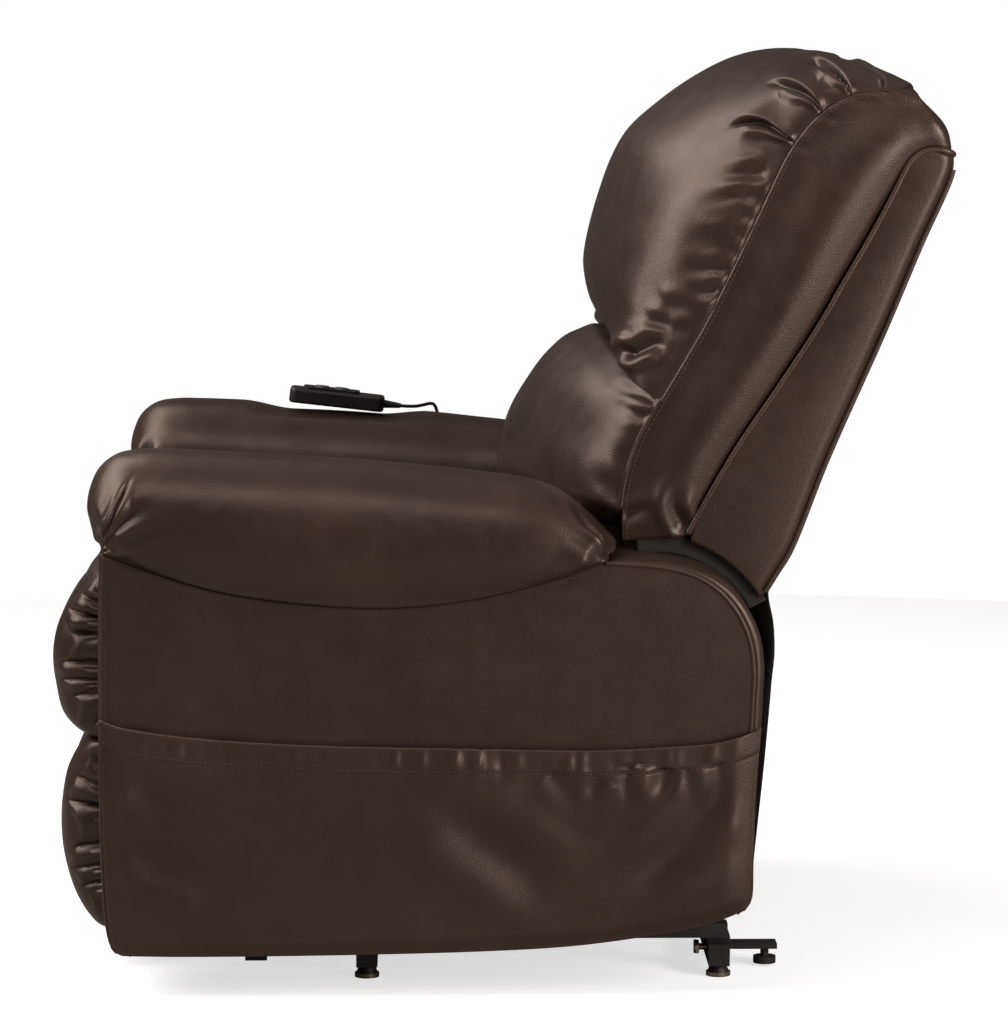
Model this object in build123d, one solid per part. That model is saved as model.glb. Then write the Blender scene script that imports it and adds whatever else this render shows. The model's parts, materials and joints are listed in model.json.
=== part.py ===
from build123d import *
import os
from math import atan2, cos, degrees, hypot, pi, radians, sin, tan

# Lift recliner chair in millimetres. The chair faces -Y, +Z is up and +X is the sitter's left.
# The origin is on the floor under the middle of the chair. Side profiles are drawn in the
# (Y, Z) plane and extruded along X. Nearly everything comes in mirrored pairs about X = 0.

# Overall size
HALF_WIDTH = 445.0
HALF_DEPTH = 526.0
HEIGHT = 1090.0

# Arms, from the inner face to the outer face of the cover, with the pad standing out over it
ARM_IN = 275.0
ARM_OUT = 428.0
PAD_IN = 272.0
PAD_CREST = 358.5
ARM_FRONT = -460.0
COVER_WALL = 3.0
ARM_BOARD = 12.0
GAP = 0.5

# Back hinge and the radii of the shapes that turn about it
HINGE = (187.0, 385.0)
ARM_REAR_RADIUS = 119.0
SHELL_RADIUS = 137.0
RECLINE_CRANK = (260.0, 340.0)
RECLINE_ANCHOR = (-40.0, 240.0)
RECLINE_X = 110.0

# Planes of the linkage plates: the lower end of each plate's thickness along X
PLATE = 6.0
RISER_X = 254.0
LIFT_LINK_X = 246.0
CARRIER_X = 236.0
LINK_AC_X = 227.0
LINK_BD_X = 218.0
EAR_X = 209.0
HEAD = 2.4
RUNNING = 0.05

# Lift linkage pivots
LOWER_BASE = (140.0, 90.0)
LOWER_BEND = (-190.0, 62.0)
LOWER_CHAIR = (-324.0, 26.0)
UPPER_BASE = (110.0, 170.0)
UPPER_CHAIR = (-340.0, 70.0)
LIFT_ANCHOR = (250.0, 180.0)
LIFT_TUBE = (-20.0, 76.0)
LIFT_CRANK = (-40.0, 180.0)

# Leg-rest linkage pivots, folded
LINK_A_TOP = (-300.0, 300.0)
LINK_A_LOW = (-290.0, 90.0)
LINK_C_TOP = (-340.0, 330.0)
LINK_C_LOW = (-312.4, 123.1)
LINK_D_LOW = (-277.9, 150.6)
LINK_D_TOP = (-421.0, 358.0)
BOARD_PIVOT = (-432.0, 300.0)
LEGREST_ANCHOR = (-40.0, 280.0)
LEGREST_CRANK = (-250.0, 90.0)
LEGREST_X = -110.0
LEGREST_SLOT = 18.0

# Base frame
TUBE = 25.0
TUBE_WALL = 2.0
CROSS_TUBE_Z = (14.0, 40.0)
FRONT_TUBE_Y = -152.0
REAR_TUBE_Y = 263.0
CROSS_TUBE_HALF = 320.0
GLIDE_X = 305.0
RAIL_X = (260.0, 285.0)
RAIL_Z = (40.0, 57.0)
STABILIZER_X = 250.0
STABILIZER_FOOT_Y = 322.0
WING_BOLT_X = 272.0

# Upholstery between the arms
SEAT_HALF = 268.0
LEG_PAD_HALF = 265.0
BOARD_FRONT = -452.0
BOARD_THICK = 9.0
SHELL_HALF = 338.0
SHELL_WALL = 5.0
PILLOW_HALF = 320.0
BETWEEN_ARMS = 262.0

# Handset, lying on the right arm pad with its socket end to the front
HANDSET_SIZE = (48.0, 125.0, 20.0)
HANDSET_AT = (-358.0, -199.0, 628.0)
HANDSET_TILT = -6.5
KEYPAD_SIZE = (36.0, 74.0, 3.0)
KEYPAD_SHIFT = -8.0
BUTTON_RADIUS = 9.0
BUTTON_HEIGHT = 3.0
BUTTON_TRAVEL = 1.0
BUTTON_SPACING = 26.0
CORD_DIAMETER = 4.5

# Control box under the seat, as its ranges along X, Y and Z, and the size of its power inlet
CONTROL_BOX = ((-215.0, -75.0), (25.0, 83.0), (262.0, 318.0))
INLET_AT = (-100.0, 83.0, 290.0)
INLET_SIZE = (26.0, 20.0, 18.0)
GLAND_AT = (-200.0, 60.0, 262.0)


def export(name, *shapes):
    solids = [solid for shape in shapes for solid in shape.solids()]
    export_step(Compound(label=name, children=solids), f"parts/{name}.step")


def slab(outline, x_low, x_high):
    """A closed (Y, Z) outline, as a wire or a list of corners, extruded from x_low to x_high."""
    wire = Polyline(*outline, close=True) if isinstance(outline, list) else outline
    return extrude(Plane.YZ.offset(x_low) * make_face(wire), amount=x_high - x_low)


def closed(*curves):
    """One closed wire from curves that follow each other end to end."""
    return Wire([edge for curve in curves for edge in curve.edges()])


def pin(at, radius, x_low, x_high):
    disc = Pos(at[0], at[1]) * Circle(radius)
    return extrude(Plane.YZ.offset(x_low) * disc, amount=x_high - x_low)


def block(x_range, y_range, z_range):
    size = [high - low for low, high in (x_range, y_range, z_range)]
    centre = [(high + low) / 2 for low, high in (x_range, y_range, z_range)]
    return Pos(*centre) * Box(*size)


def bar(points, half_width, x_low, thickness=PLATE):
    """A flat bar with round ends and joints through the points."""
    shape = None
    for start, end in zip(points, points[1:]):
        length = hypot(end[0] - start[0], end[1] - start[1])
        angle = degrees(atan2(end[1] - start[1], end[0] - start[0]))
        run = Pos((start[0] + end[0]) / 2, (start[1] + end[1]) / 2) * Rot(0, 0, angle)
        piece = run * Rectangle(length, 2 * half_width)
        shape = piece if shape is None else shape + piece
    for point in points:
        shape = shape + Pos(*point) * Circle(half_width)
    return extrude(Plane.YZ.offset(x_low) * shape, amount=thickness)


def eye(plate, at, hole_radius, x_low, boss_radius=None):
    """A hole through a plate, with a round boss of the plate's thickness where one is given."""
    if boss_radius:
        plate = plate + pin(at, boss_radius, x_low, x_low + PLATE)
    return plate - pin(at, hole_radius, x_low - 1, x_low + PLATE + 1)


def stud(at, radius, x_start, x_end):
    """A staked pivot from a plate's face at x_start through the next plate to x_end, and its head."""
    toward = 1 if x_end > x_start else -1
    shank = pin(at, radius, min(x_start, x_end), max(x_start, x_end))
    head_end = x_end + toward * HEAD
    return shank + pin(at, radius + 4, min(x_end, head_end), max(x_end, head_end))


def pair(shape):
    return [shape, mirror(shape, Plane.YZ)]


def square_tube(length):
    outer = Box(length, TUBE, CROSS_TUBE_Z[1] - CROSS_TUBE_Z[0])
    inner = Box(length, TUBE - 2 * TUBE_WALL, outer.bounding_box().size.Z - 2 * TUBE_WALL)
    return outer - inner


# ---------------------------------------------------------------- base
def make_base():
    centre_z = sum(CROSS_TUBE_Z) / 2
    for name, y in (("front_cross_tube", FRONT_TUBE_Y), ("rear_cross_tube", REAR_TUBE_Y)):
        export(name, Pos(0, y, centre_z) * square_tube(2 * CROSS_TUBE_HALF))

    caps = []
    plug = Box(18, TUBE - 2 * TUBE_WALL, CROSS_TUBE_Z[1] - CROSS_TUBE_Z[0] - 2 * TUBE_WALL)
    lid = Pos(10.5, 0, 0) * Box(3, TUBE, CROSS_TUBE_Z[1] - CROSS_TUBE_Z[0])
    for y in (FRONT_TUBE_Y, REAR_TUBE_Y):
        caps += pair(Pos(CROSS_TUBE_HALF - 9, y, centre_z) * (plug + lid))
    export("tube_end_caps", *caps)

    rail = block(RAIL_X, (FRONT_TUBE_Y - 15, REAR_TUBE_Y + 12.5), RAIL_Z)
    bore_x = (RAIL_X[0] + TUBE_WALL, RAIL_X[1] - TUBE_WALL)
    bore_z = (RAIL_Z[0] + TUBE_WALL, RAIL_Z[1] - TUBE_WALL)
    export("base_side_rails", *pair(rail - block(bore_x, (FRONT_TUBE_Y - 16, REAR_TUBE_Y + 14), bore_z)))

    foot_z = RAIL_Z[0] + 2
    foot = [(60, foot_z), (195, foot_z), (195, 60), (158, 100), (128, 176), (92, 176), (84, 140), (60, 60)]
    riser = slab(foot, RISER_X, RISER_X + PLATE) + pin(UPPER_BASE, 18, RISER_X, RISER_X + PLATE)
    riser += stud(UPPER_BASE, 6, RISER_X, LIFT_LINK_X)
    riser += stud(LOWER_BASE, 6, RISER_X, LIFT_LINK_X)
    export("riser_plates", *pair(riser))

    collars = []
    pads = []
    for y in (FRONT_TUBE_Y, REAR_TUBE_Y):
        cone = Pos(GLIDE_X, y, 9.5) * Cone(13, 9, 9)
        pad = Pos(GLIDE_X, y, 2.5) * Cylinder(14.5, 5)
        collars += pair(cone)
        pads += pair(pad)
    export("glide_collars", *collars)
    export("glide_pads", *pads)

    arm = block((STABILIZER_X - 15, STABILIZER_X + 15), (REAR_TUBE_Y + 12.5, 336), (22, 28))
    arm += block((STABILIZER_X - 20, STABILIZER_X + 20), (REAR_TUBE_Y + 12.5, REAR_TUBE_Y + 16.5), (15, 39))
    export("stabilizer_arms", *pair(arm))
    foot_disc = Pos(STABILIZER_X, STABILIZER_FOOT_Y, 7) * Cylinder(13.5, 8)
    foot_stem = Pos(STABILIZER_X, STABILIZER_FOOT_Y, 16.5) * Cylinder(5, 11)
    export("stabilizer_feet", *pair(foot_disc + foot_stem))

    bolt = Pos(WING_BOLT_X, REAR_TUBE_Y - 17, centre_z) * Rot(90, 0, 0) * Cylinder(4, 9)
    knob = Pos(WING_BOLT_X, REAR_TUBE_Y - 24, centre_z) * Rot(90, 0, 0) * Cylinder(8, 6)
    wing = Pos(WING_BOLT_X, REAR_TUBE_Y - 24, centre_z) * Box(34, 3, 10)
    export("wing_bolts", *pair(bolt + knob + wing))

    shoe = block((-44, 44), (REAR_TUBE_Y - 12.5, REAR_TUBE_Y + 12.5), (CROSS_TUBE_Z[1], CROSS_TUBE_Z[1] + 5))
    ear = [(238, 45), (275.5, 45), (275.5, 80), (264, 180), (236, 180)]
    bracket = shoe + pin(LIFT_ANCHOR, 5, -44, 44)
    for x in (-43, 37):
        bracket += slab(ear, x, x + PLATE)
        bracket += pin(LIFT_ANCHOR, 14, x, x + PLATE)
    export("lift_motor_bracket", bracket)


# ---------------------------------------------------------------- actuators
def actuator(anchor, target, x, stroke, can_side, eye_boss, slot=0.0):
    """Linear actuator: a gear head and hanging motor can with an outer tube, and its rod with an eye.

    It is drawn along its own line: u runs from the anchor to the target, can_side is the
    side, +1 or -1, on which the can stands off that line.
    """
    length = hypot(target[0] - anchor[0], target[1] - anchor[1])
    angle = degrees(atan2(target[1] - anchor[1], target[0] - anchor[0]))
    place = Pos(x, anchor[0], anchor[1]) * Rot(angle, 0, 0)
    head = Pos(0, 14, 0) * fillet(Box(60, 56, 42).edges().filter_by(Axis.X), 8)
    head -= Rot(0, 90, 0) * Cylinder(5 + RUNNING, 80)
    can = Pos(0, 16, can_side * 58) * fillet(Cylinder(21, 76).edges(), 4)
    tube_end = length - eye_boss - 10 - max(0, -stroke)
    tube = Pos(0, (42 + tube_end) / 2, 0) * Rot(90, 0, 0) * Cylinder(16, tube_end - 42)
    collar = Pos(0, tube_end - 6, 0) * Rot(90, 0, 0) * Cylinder(18, 12)
    bore = Pos(0, (46 + length) / 2, 0) * Rot(90, 0, 0) * Cylinder(10, length - 46)
    housing = head + can + tube + collar - bore
    start = 54 + max(0, -stroke)
    end = length - eye_boss + 2
    rod = Pos(0, (start + end) / 2, 0) * Rot(90, 0, 0) * Cylinder(9, end - start)
    lug = Pos(0, length + slot / 2, 0) * Box(14, slot + eye_boss, 2 * eye_boss)
    for shift in (0.0, slot):
        lug += Pos(0, length + shift, 0) * Rot(0, 90, 0) * Cylinder(eye_boss, 14)
    return place * housing, place * (rod + lug), place


def make_lift():
    link = bar([LOWER_BASE, LOWER_BEND, LOWER_CHAIR], 10, LIFT_LINK_X)
    link = eye(link, LOWER_BASE, 6 + RUNNING, LIFT_LINK_X, 15)
    link = eye(link, LOWER_CHAIR, 6 + RUNNING, LIFT_LINK_X, 14)
    export("lower_link_plates", *pair(link))

    cross = pin(LIFT_TUBE, 11, -LIFT_LINK_X, LIFT_LINK_X)
    cross -= pin(LIFT_TUBE, 9, -LIFT_LINK_X - 1, LIFT_LINK_X + 1)
    cranks = bar([LIFT_TUBE, LIFT_CRANK], 13, 9) + bar([LIFT_TUBE, LIFT_CRANK], 13, -9 - PLATE)
    cranks += pin(LIFT_CRANK, 5, -9, 9)
    export("lower_link_tube", cross + (cranks - pin(LIFT_TUBE, 10, -16, 16)))

    bumper = [(-298, 8), (-272, 8), (-272, 34), (-298, 34)]
    export("link_bumpers", *pair(slab(bumper, LIFT_LINK_X - 1, LIFT_LINK_X + 9)
                                 - bar([LOWER_BEND, LOWER_CHAIR], 10, LIFT_LINK_X - 2, 12)))

    upper = eye(bar([UPPER_BASE, UPPER_CHAIR], 9, LIFT_LINK_X), UPPER_BASE, 6 + RUNNING, LIFT_LINK_X, 15)
    export("upper_links", *pair(eye(upper, UPPER_CHAIR, 7.3, LIFT_LINK_X, 13)))

    housing, rod, place = actuator(LIFT_ANCHOR, LIFT_CRANK, 0, -44.0, 1, 13)
    export("lift_motor", housing)
    export("lift_rod", rod - pin(LIFT_CRANK, 5 + 2, -20, 20))


# ---------------------------------------------------------------- seat and mechanism carried by the chair
def make_carrier():
    leg = bar([LOWER_CHAIR, (-326, 90), (-322, 340)], 16, CARRIER_X)
    leg += bar([LINK_C_TOP, (-300, 330), LINK_A_TOP], 16, CARRIER_X)
    leg += slab([(-365, 320), (110, 320), (110, 383), (-365, 383)], CARRIER_X, CARRIER_X + PLATE)
    leg += pin(UPPER_CHAIR, 16, CARRIER_X, CARRIER_X + PLATE)
    leg += stud(LOWER_CHAIR, 6, CARRIER_X + PLATE, LIFT_LINK_X + PLATE)
    leg += stud(UPPER_CHAIR, 5, CARRIER_X + PLATE, LIFT_LINK_X + PLATE)
    leg += stud(LINK_A_TOP, 5, CARRIER_X, LINK_AC_X)
    leg += stud(LINK_C_TOP, 5, CARRIER_X, EAR_X)
    export("carrier_plates", *pair(leg))

    rail = block((CARRIER_X + PLATE, 267.5), (-400, 150), (345, 383))
    export("seat_side_rails", *pair(rail))
    half = CARRIER_X
    front = block((-half, half), (-402, -372), (372, 396))
    rear = block((-half, half), (84, 109), (334, 383))
    export("seat_cross_rails", front, rear)

    mount = block((-half, half), (-32, -7), (321, 346))
    ears = []
    for x, anchor in ((RECLINE_X, RECLINE_ANCHOR), (LEGREST_X, LEGREST_ANCHOR)):
        for side in (-38, 32):
            drop = [(-38, 321), (-4, 321), (anchor[0] + 12, anchor[1]), (anchor[0] - 12, anchor[1])]
            ears.append(slab(drop, x + side, x + side + PLATE) + pin(anchor, 12, x + side, x + side + PLATE))
        ears.append(pin(anchor, 5, x - 38, x + 38))
    for ear in ears:
        mount += ear
    export("motor_mount_tube", mount)

    springs = []
    wire = 1.8
    loops = 6
    first, last = -368.0, 80.0
    pitch = (last - first) / (2 * loops)
    for column in range(4):
        x = -165 + 110 * column
        corners = [(x, first)]
        for turn in range(2 * loops - 1):
            side = 22 if turn % 2 else -22
            corners += [(x + side, first + pitch * (turn + 0.5)), (x + side, first + pitch * (turn + 1))]
        corners += [(x + 22, last - pitch / 2), (x, last)]
        path = FilletPolyline(*[(a, b, 379) for a, b in drop_straight(corners)], radius=8)
        profile = Plane(origin=path @ 0, z_dir=path % 0) * Circle(wire)
        springs.append(sweep(profile, path=path))
    export("seat_springs", *springs)

    top = [(-436, 402), (-440, 450), (-432, 486), (-400, 500), (-60, 492), (60, 484), (112, 476)]
    outline = top + [(112, 386), (-370, 386), (-370, 402)]
    export("seat_cushion", slab(outline, -SEAT_HALF, SEAT_HALF))


def drop_straight(corners):
    """Leave out each corner that lies in line with its neighbours."""
    kept = [corners[0]]
    for before, here, after in zip(corners, corners[1:], corners[2:]):
        cross = (here[0] - before[0]) * (after[1] - here[1]) - (here[1] - before[1]) * (after[0] - here[0])
        if abs(cross) > 1e-6:
            kept.append(here)
    return kept + [corners[-1]]


# ---------------------------------------------------------------- arms
def around_hinge(radius, angle):
    return HINGE[0] + radius * cos(radians(angle)), HINGE[1] + radius * sin(radians(angle))


def arm_seam(inset=0.0):
    """The sagging line where the arm pad meets the side cover, from the rear to the front."""
    points = [(125, 507), (-30, 463), (-150, 454), (-321, 474), (ARM_FRONT + 3, 517)]
    return Spline(*[(y, z - inset) for y, z in points])


def cover_profile(inset=0.0, drop=0.0):
    """Side cover outline, drawn in by inset on every side but the bottom, which is let down by drop."""
    seam = arm_seam(inset)
    front_top = (ARM_FRONT + inset, 331)
    front_low = (-438 + inset, 59 - drop)
    bottom_mid = (-158, 61 - drop)
    bottom_rear = (280 - inset, 118 - drop)
    radius = ARM_REAR_RADIUS - inset
    arc_low, arc_mid, arc_high = (around_hinge(radius, angle) for angle in (-12, 45, 93.4))
    edges = [
        Line(seam @ 1, front_top),
        ThreePointArc(front_top, (ARM_FRONT + 4 + inset, 195), front_low),
        Line(front_low, bottom_mid),
        ThreePointArc(bottom_mid, (129, 84 - drop), bottom_rear),
        Line(bottom_rear, arc_low),
        ThreePointArc(arc_low, arc_mid, arc_high),
        Line(arc_high, seam @ 0),
    ]
    return closed(seam, *edges)


def arm_pad_profile():
    seam = arm_seam(-GAP)
    front = [(-473, 562), (-455, 611), (-409, 627), (-288, 623)]
    rear = [(-23, 603), (70, 585), (118, 549), (138, 522)]
    return closed(seam, Spline(seam @ 1, *front, *rear, seam @ 0))


def handset_frame():
    return Pos(*HANDSET_AT) * Rot(HANDSET_TILT, 0, 0)


def make_arms():
    outer = slab(cover_profile(), ARM_IN, ARM_OUT)
    cavity = slab(cover_profile(COVER_WALL, 10), ARM_IN + COVER_WALL, ARM_OUT - COVER_WALL)
    cover = outer - cavity
    export("left_side_cover", cover)
    export("right_side_cover", mirror(cover, Plane.YZ))

    within = slab(cover_profile(COVER_WALL + 1, -12), ARM_IN + COVER_WALL + 1, ARM_OUT - COVER_WALL - 1)
    inner = ARM_IN + COVER_WALL + 1
    outer = ARM_OUT - COVER_WALL - 11
    board = inner + ARM_BOARD
    front, rear = ARM_FRONT + 10, 266
    inner_panel = within & block((inner, board), (front, rear), (0, 700))
    front_board = within & block((board, outer), (front, front + 18), (75, 700))
    top_board = within & block((board, outer), (front + 18, 250), (434, 452))
    brace = within & block((board, outer), (rear - 20, rear), (120, 434))
    foot_rail = within & block((outer - 20, outer), (front + 18, rear - 20), (95, 135))
    pieces = [inner_panel, front_board, top_board, brace, foot_rail]
    export("left_arm_frame", *pieces)
    export("right_arm_frame", *[mirror(piece, Plane.YZ) for piece in pieces])

    arch = [(PAD_IN, 440), (PAD_IN, 560)]
    side = Polyline((HALF_WIDTH, 560), (HALF_WIDTH, 440), *arch)
    dome = ThreePointArc((PAD_IN, 560), (PAD_CREST, 629), (HALF_WIDTH, 560))
    section = extrude(Plane.XZ * make_face(closed(side, dome)), amount=600, both=True)
    pad = slab(arm_pad_profile(), PAD_IN, HALF_WIDTH) & section
    export("left_arm_pad", pad)
    clear = [size + 2 * GAP for size in HANDSET_SIZE]
    dent = handset_frame() * Pos(0, 6, 15) * Box(clear[0], clear[1] + 24, clear[2] + 30)
    export("right_arm_pad", mirror(pad, Plane.YZ) - dent)


def make_pocket():
    """Fabric pouch on the left side cover, open along its sagging top edge."""
    hem = Spline((301, 321), (270, 308), (113, 294), (-195, 299), (-333, 307), (ARM_FRONT + 3, 327))
    low = 10.0
    edges = [
        Line(hem @ 1, (ARM_FRONT + 10, 160)),
        Line((ARM_FRONT + 10, 160), (-441, 59 + low)),
        Line((-441, 59 + low), (-158, 61 + low)),
        Line((-158, 61 + low), (0, 68 + low)),
        Line((0, 68 + low), (282, 118 + low)),
        Line((282, 118 + low), hem @ 0),
    ]
    outline = closed(hem, *edges)
    front = slab(outline, ARM_OUT + 10, ARM_OUT + 13)
    filled = slab(outline, ARM_OUT + GAP / 2, ARM_OUT + 10)
    strips = [
        filled & block((0, 600), (-600, -430), (0, 600)),
        filled & block((0, 600), (262, 600), (0, 600)),
    ]
    bottom = filled & block((0, 600), (-430, 262), (0, 600))
    bottom &= slab([(-430, 0), (262, 0), (262, 138), (0, 96), (-430, 86)], 400, 500)
    export("side_pocket", front, *strips, bottom)


# ---------------------------------------------------------------- back
def shell_profile(inset=0.0, open_front=0.0):
    """Side outline of the back's outer shell, drawn in at the rear and top by inset and let out in front."""
    top = (HALF_DEPTH - inset, 948 - inset)
    rear = Spline((324.5 - inset, 452), (383 - inset, 614), (448 - inset, 763), top)
    front_low = around_hinge(SHELL_RADIUS, 74)
    low_end = around_hinge(SHELL_RADIUS, 29)
    if open_front:
        front_top = (489 - open_front, 967 - inset)
        low = [(front_low[0] - open_front, front_low[1]), (low_end[0] - open_front, low_end[1] - open_front)]
        rear_low = (324.5 - inset, 452 - open_front)
        return closed(rear, Polyline(rear @ 1, front_top, *low, rear_low, rear @ 0))
    front = Polyline(rear @ 1, (HALF_DEPTH - 1, 959), (489, 967), (460, 935), (272, 620), front_low)
    lower = ThreePointArc(front_low, around_hinge(SHELL_RADIUS, 50), low_end)
    return closed(rear, front, lower, Line(low_end, rear @ 0))


def make_back():
    outer = slab(shell_profile(), -SHELL_HALF, SHELL_HALF)
    inner = SHELL_HALF - SHELL_WALL
    shell = outer - slab(shell_profile(SHELL_WALL, 160), -inner, inner)
    export("back_shell", shell)

    post_line = [(228, 418), (300, 490), (468, 905)]
    post = bar(post_line, 20, 228, 30)
    rails = [block((-228, 228), (456, 482), (880, 925)), block((-228, 228), (360, 384), (650, 700))]
    export("back_frame", *pair(post), *rails)
    tube_at = (232, 422)
    lower = pin(tube_at, 12, -228, 228) - pin(tube_at, 10, -229, 229)
    for x in (RECLINE_X + 9, RECLINE_X - 9 - PLATE):
        lower += bar([tube_at, RECLINE_CRANK], 12, x) - pin(tube_at, 11, x - 1, x + PLATE + 1)
    lower += pin(RECLINE_CRANK, 5, RECLINE_X - 9, RECLINE_X + 9)
    export("back_lower_tube", lower)

    upper = bar([HINGE, (228, 426), (290, 488)], 15, 258.2, 5.8) - pin(HINGE, 8 + RUNNING, 250, 270)
    export("hinge_upper_brackets", *pair(upper))
    plate = bar([(40, 366), (120, 366), HINGE], 15, 268, 6.5)
    pivot = pin(HINGE, 8, 258, 268) + pin(HINGE, 12, 254.5, 258)
    export("hinge_lower_brackets", *pair(plate + pivot))

    split_front = (124, 764)
    split_rear = (352, 706)
    rise = [(117, 780), (119, 849), (147, 954), (203, 1020), (297, 1076)]
    crown = Spline(split_front, *rise, (352, HEIGHT), (429, 1077), (484, 1018), (520, 970))
    rear = Polyline(crown @ 1, (480, 971), (436, 900), split_rear, split_front)
    head = slab(closed(crown, rear), -250, 250)
    cheek = [(484, 1018), (443, 1032), (405, 1024), (342, 971), (282, 847), (238, 759), (234, 737)]
    cheek += [split_rear, (436, 900), (480, 971), (510, 975)]
    head += slab(cheek, -PILLOW_HALF, PILLOW_HALF)
    export("head_pillow", head)

    split_front, split_rear = (124, 762), (352, 704)
    belly = Spline(split_front, (103, 741), (60, 707), (25, 654), (7, 578), (10, 520), (40, 496))
    rear = Polyline(belly @ 1, (190, 486), (206, 500), (332, 655), split_rear, split_front)
    lumbar = slab(closed(belly, rear), -BETWEEN_ARMS, BETWEEN_ARMS)
    side = [(226, 736), (183, 676), (160, 612), (142, 552), (146, 540), (220, 535), (332, 660), split_rear]
    lumbar += slab(side, -PILLOW_HALF, PILLOW_HALF)
    export("lumbar_pillow", lumbar)

    flap = [(300, 117), (306, 187), (322, 352), (325, 352), (309, 187), (303, 117)]
    export("rear_dust_cover", slab(flap, -SHELL_HALF + 30, SHELL_HALF - 30))

    housing, rod, place = actuator(RECLINE_ANCHOR, RECLINE_CRANK, RECLINE_X, -44.25, -1, 13)
    export("recline_motor", housing)
    export("recline_rod", rod - pin(RECLINE_CRANK, 5 + 2.6, RECLINE_X - 20, RECLINE_X + 20))


# ---------------------------------------------------------------- leg rest
def make_legrest():
    a = bar([LINK_A_TOP, LINK_A_LOW], 8, LINK_AC_X) + pin(LINK_D_LOW, 9, LINK_AC_X, LINK_AC_X + PLATE)
    a = eye(a, LINK_A_TOP, 5 + RUNNING, LINK_AC_X, 12)
    a += stud(LINK_A_LOW, 4, LINK_AC_X, LINK_BD_X) + stud(LINK_D_LOW, 4, LINK_AC_X, LINK_BD_X)
    export("legrest_link_a", *pair(a))

    b = bar([LINK_A_LOW, BOARD_PIVOT], 8, LINK_BD_X)
    b = eye(b, LINK_A_LOW, 4 + RUNNING, LINK_BD_X, 10)
    b = eye(b, BOARD_PIVOT, 4 + RUNNING, LINK_BD_X)
    b += stud(LINK_C_LOW, 4, LINK_BD_X, EAR_X)
    cross = pin(LINK_A_LOW, 12, -LINK_BD_X, LINK_BD_X) - pin(LINK_A_LOW, 10, -LINK_BD_X - 1, LINK_BD_X + 1)
    for x in (LEGREST_X + 9, LEGREST_X - 9 - PLATE):
        cross += bar([LINK_A_LOW, LEGREST_CRANK], 9, x) - pin(LINK_A_LOW, 11, x - 1, x + PLATE + 1)
    cross += pin(LEGREST_CRANK, 5, LEGREST_X - 9, LEGREST_X + 9)
    export("legrest_link_b", *pair(b), cross)

    c = eye(bar([LINK_C_TOP, LINK_C_LOW], 8, EAR_X), LINK_C_TOP, 5 + RUNNING, EAR_X, 11)
    export("legrest_link_c", *pair(eye(c, LINK_C_LOW, 4 + 4.2, EAR_X, 12)))

    d = eye(bar([LINK_D_LOW, LINK_D_TOP], 7, LINK_BD_X), LINK_D_LOW, 4 + RUNNING, LINK_BD_X, 9)
    export("legrest_link_d", *pair(eye(d, LINK_D_TOP, 4 + 1.9, LINK_BD_X, 9)))

    board_rear = BOARD_FRONT + BOARD_THICK
    board = block((-250, 250), (BOARD_FRONT, board_rear), (66, 462))
    export("legrest_board", board)
    low, high = 268, 390
    edge = [(-425, high), (-411, 366), (-411, 350), (-424, 292), (-430, low)]
    ear = slab([(board_rear, low), (board_rear, high), *edge], EAR_X, EAR_X + PLATE)
    ear += block((EAR_X - 22, EAR_X), (board_rear, board_rear + 3), (low, high))
    ear += stud(BOARD_PIVOT, 4, EAR_X + PLATE, LINK_BD_X + PLATE)
    ear += stud(LINK_D_TOP, 4, EAR_X + PLATE, LINK_BD_X + PLATE)
    export("legrest_ears", *pair(ear))

    back_face = BOARD_FRONT - GAP
    upper = Spline((-485, 279), (-515, 308), (-HALF_DEPTH, 368), (-518, 405), (-500, 441), (-476, 470))
    upper_rear = Polyline(upper @ 1, (back_face, 470), (back_face, 279), upper @ 0)
    export("legrest_upper_pad", slab(closed(upper, upper_rear), -LEG_PAD_HALF, LEG_PAD_HALF))
    lower = Spline((-466, 53), (-494, 91), (-509, 136), (-515, 180), (-503, 236), (-485, 276))
    lower_rear = Polyline(lower @ 1, (back_face, 276), (back_face, 53), lower @ 0)
    export("legrest_lower_pad", slab(closed(lower, lower_rear), -LEG_PAD_HALF, LEG_PAD_HALF))

    housing, rod, place = actuator(LEGREST_ANCHOR, LEGREST_CRANK, LEGREST_X, 142.2, -1, 11, slot=LEGREST_SLOT)
    export("legrest_motor", housing)
    reach = hypot(LEGREST_CRANK[0] - LEGREST_ANCHOR[0], LEGREST_CRANK[1] - LEGREST_ANCHOR[1])
    slot = place * Pos(0, reach + LEGREST_SLOT / 2, 0) * Box(20, LEGREST_SLOT, 11)
    for shift in (0, LEGREST_SLOT):
        slot += place * Pos(0, reach + shift, 0) * Rot(0, 90, 0) * Cylinder(5.5, 20)
    export("legrest_rod", rod - slot)


# ---------------------------------------------------------------- electrics
def make_electrics():
    box = fillet(block(*CONTROL_BOX).edges().filter_by(Axis.Z), 6)
    strap = block((CONTROL_BOX[0][0] + 10, CONTROL_BOX[0][1] - 10), (60, 84), (318, 334))
    inlet = Pos(INLET_AT[0], INLET_AT[1] - INLET_SIZE[1] / 4, INLET_AT[2]) * Box(*INLET_SIZE)
    export("control_box", box + strap - inlet)
    socket = Pos(*INLET_AT) * Box(INLET_SIZE[0] - 6, INLET_SIZE[1], INLET_SIZE[2] - 6)
    export("power_inlet", inlet - socket)
    gland = Pos(GLAND_AT[0], GLAND_AT[1], GLAND_AT[2] - 3) * Cylinder(7, 6)
    gland += Pos(GLAND_AT[0], GLAND_AT[1], GLAND_AT[2] - 11) * Cone(3.4, 5.5, 10)
    export("cord_gland", gland)


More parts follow.
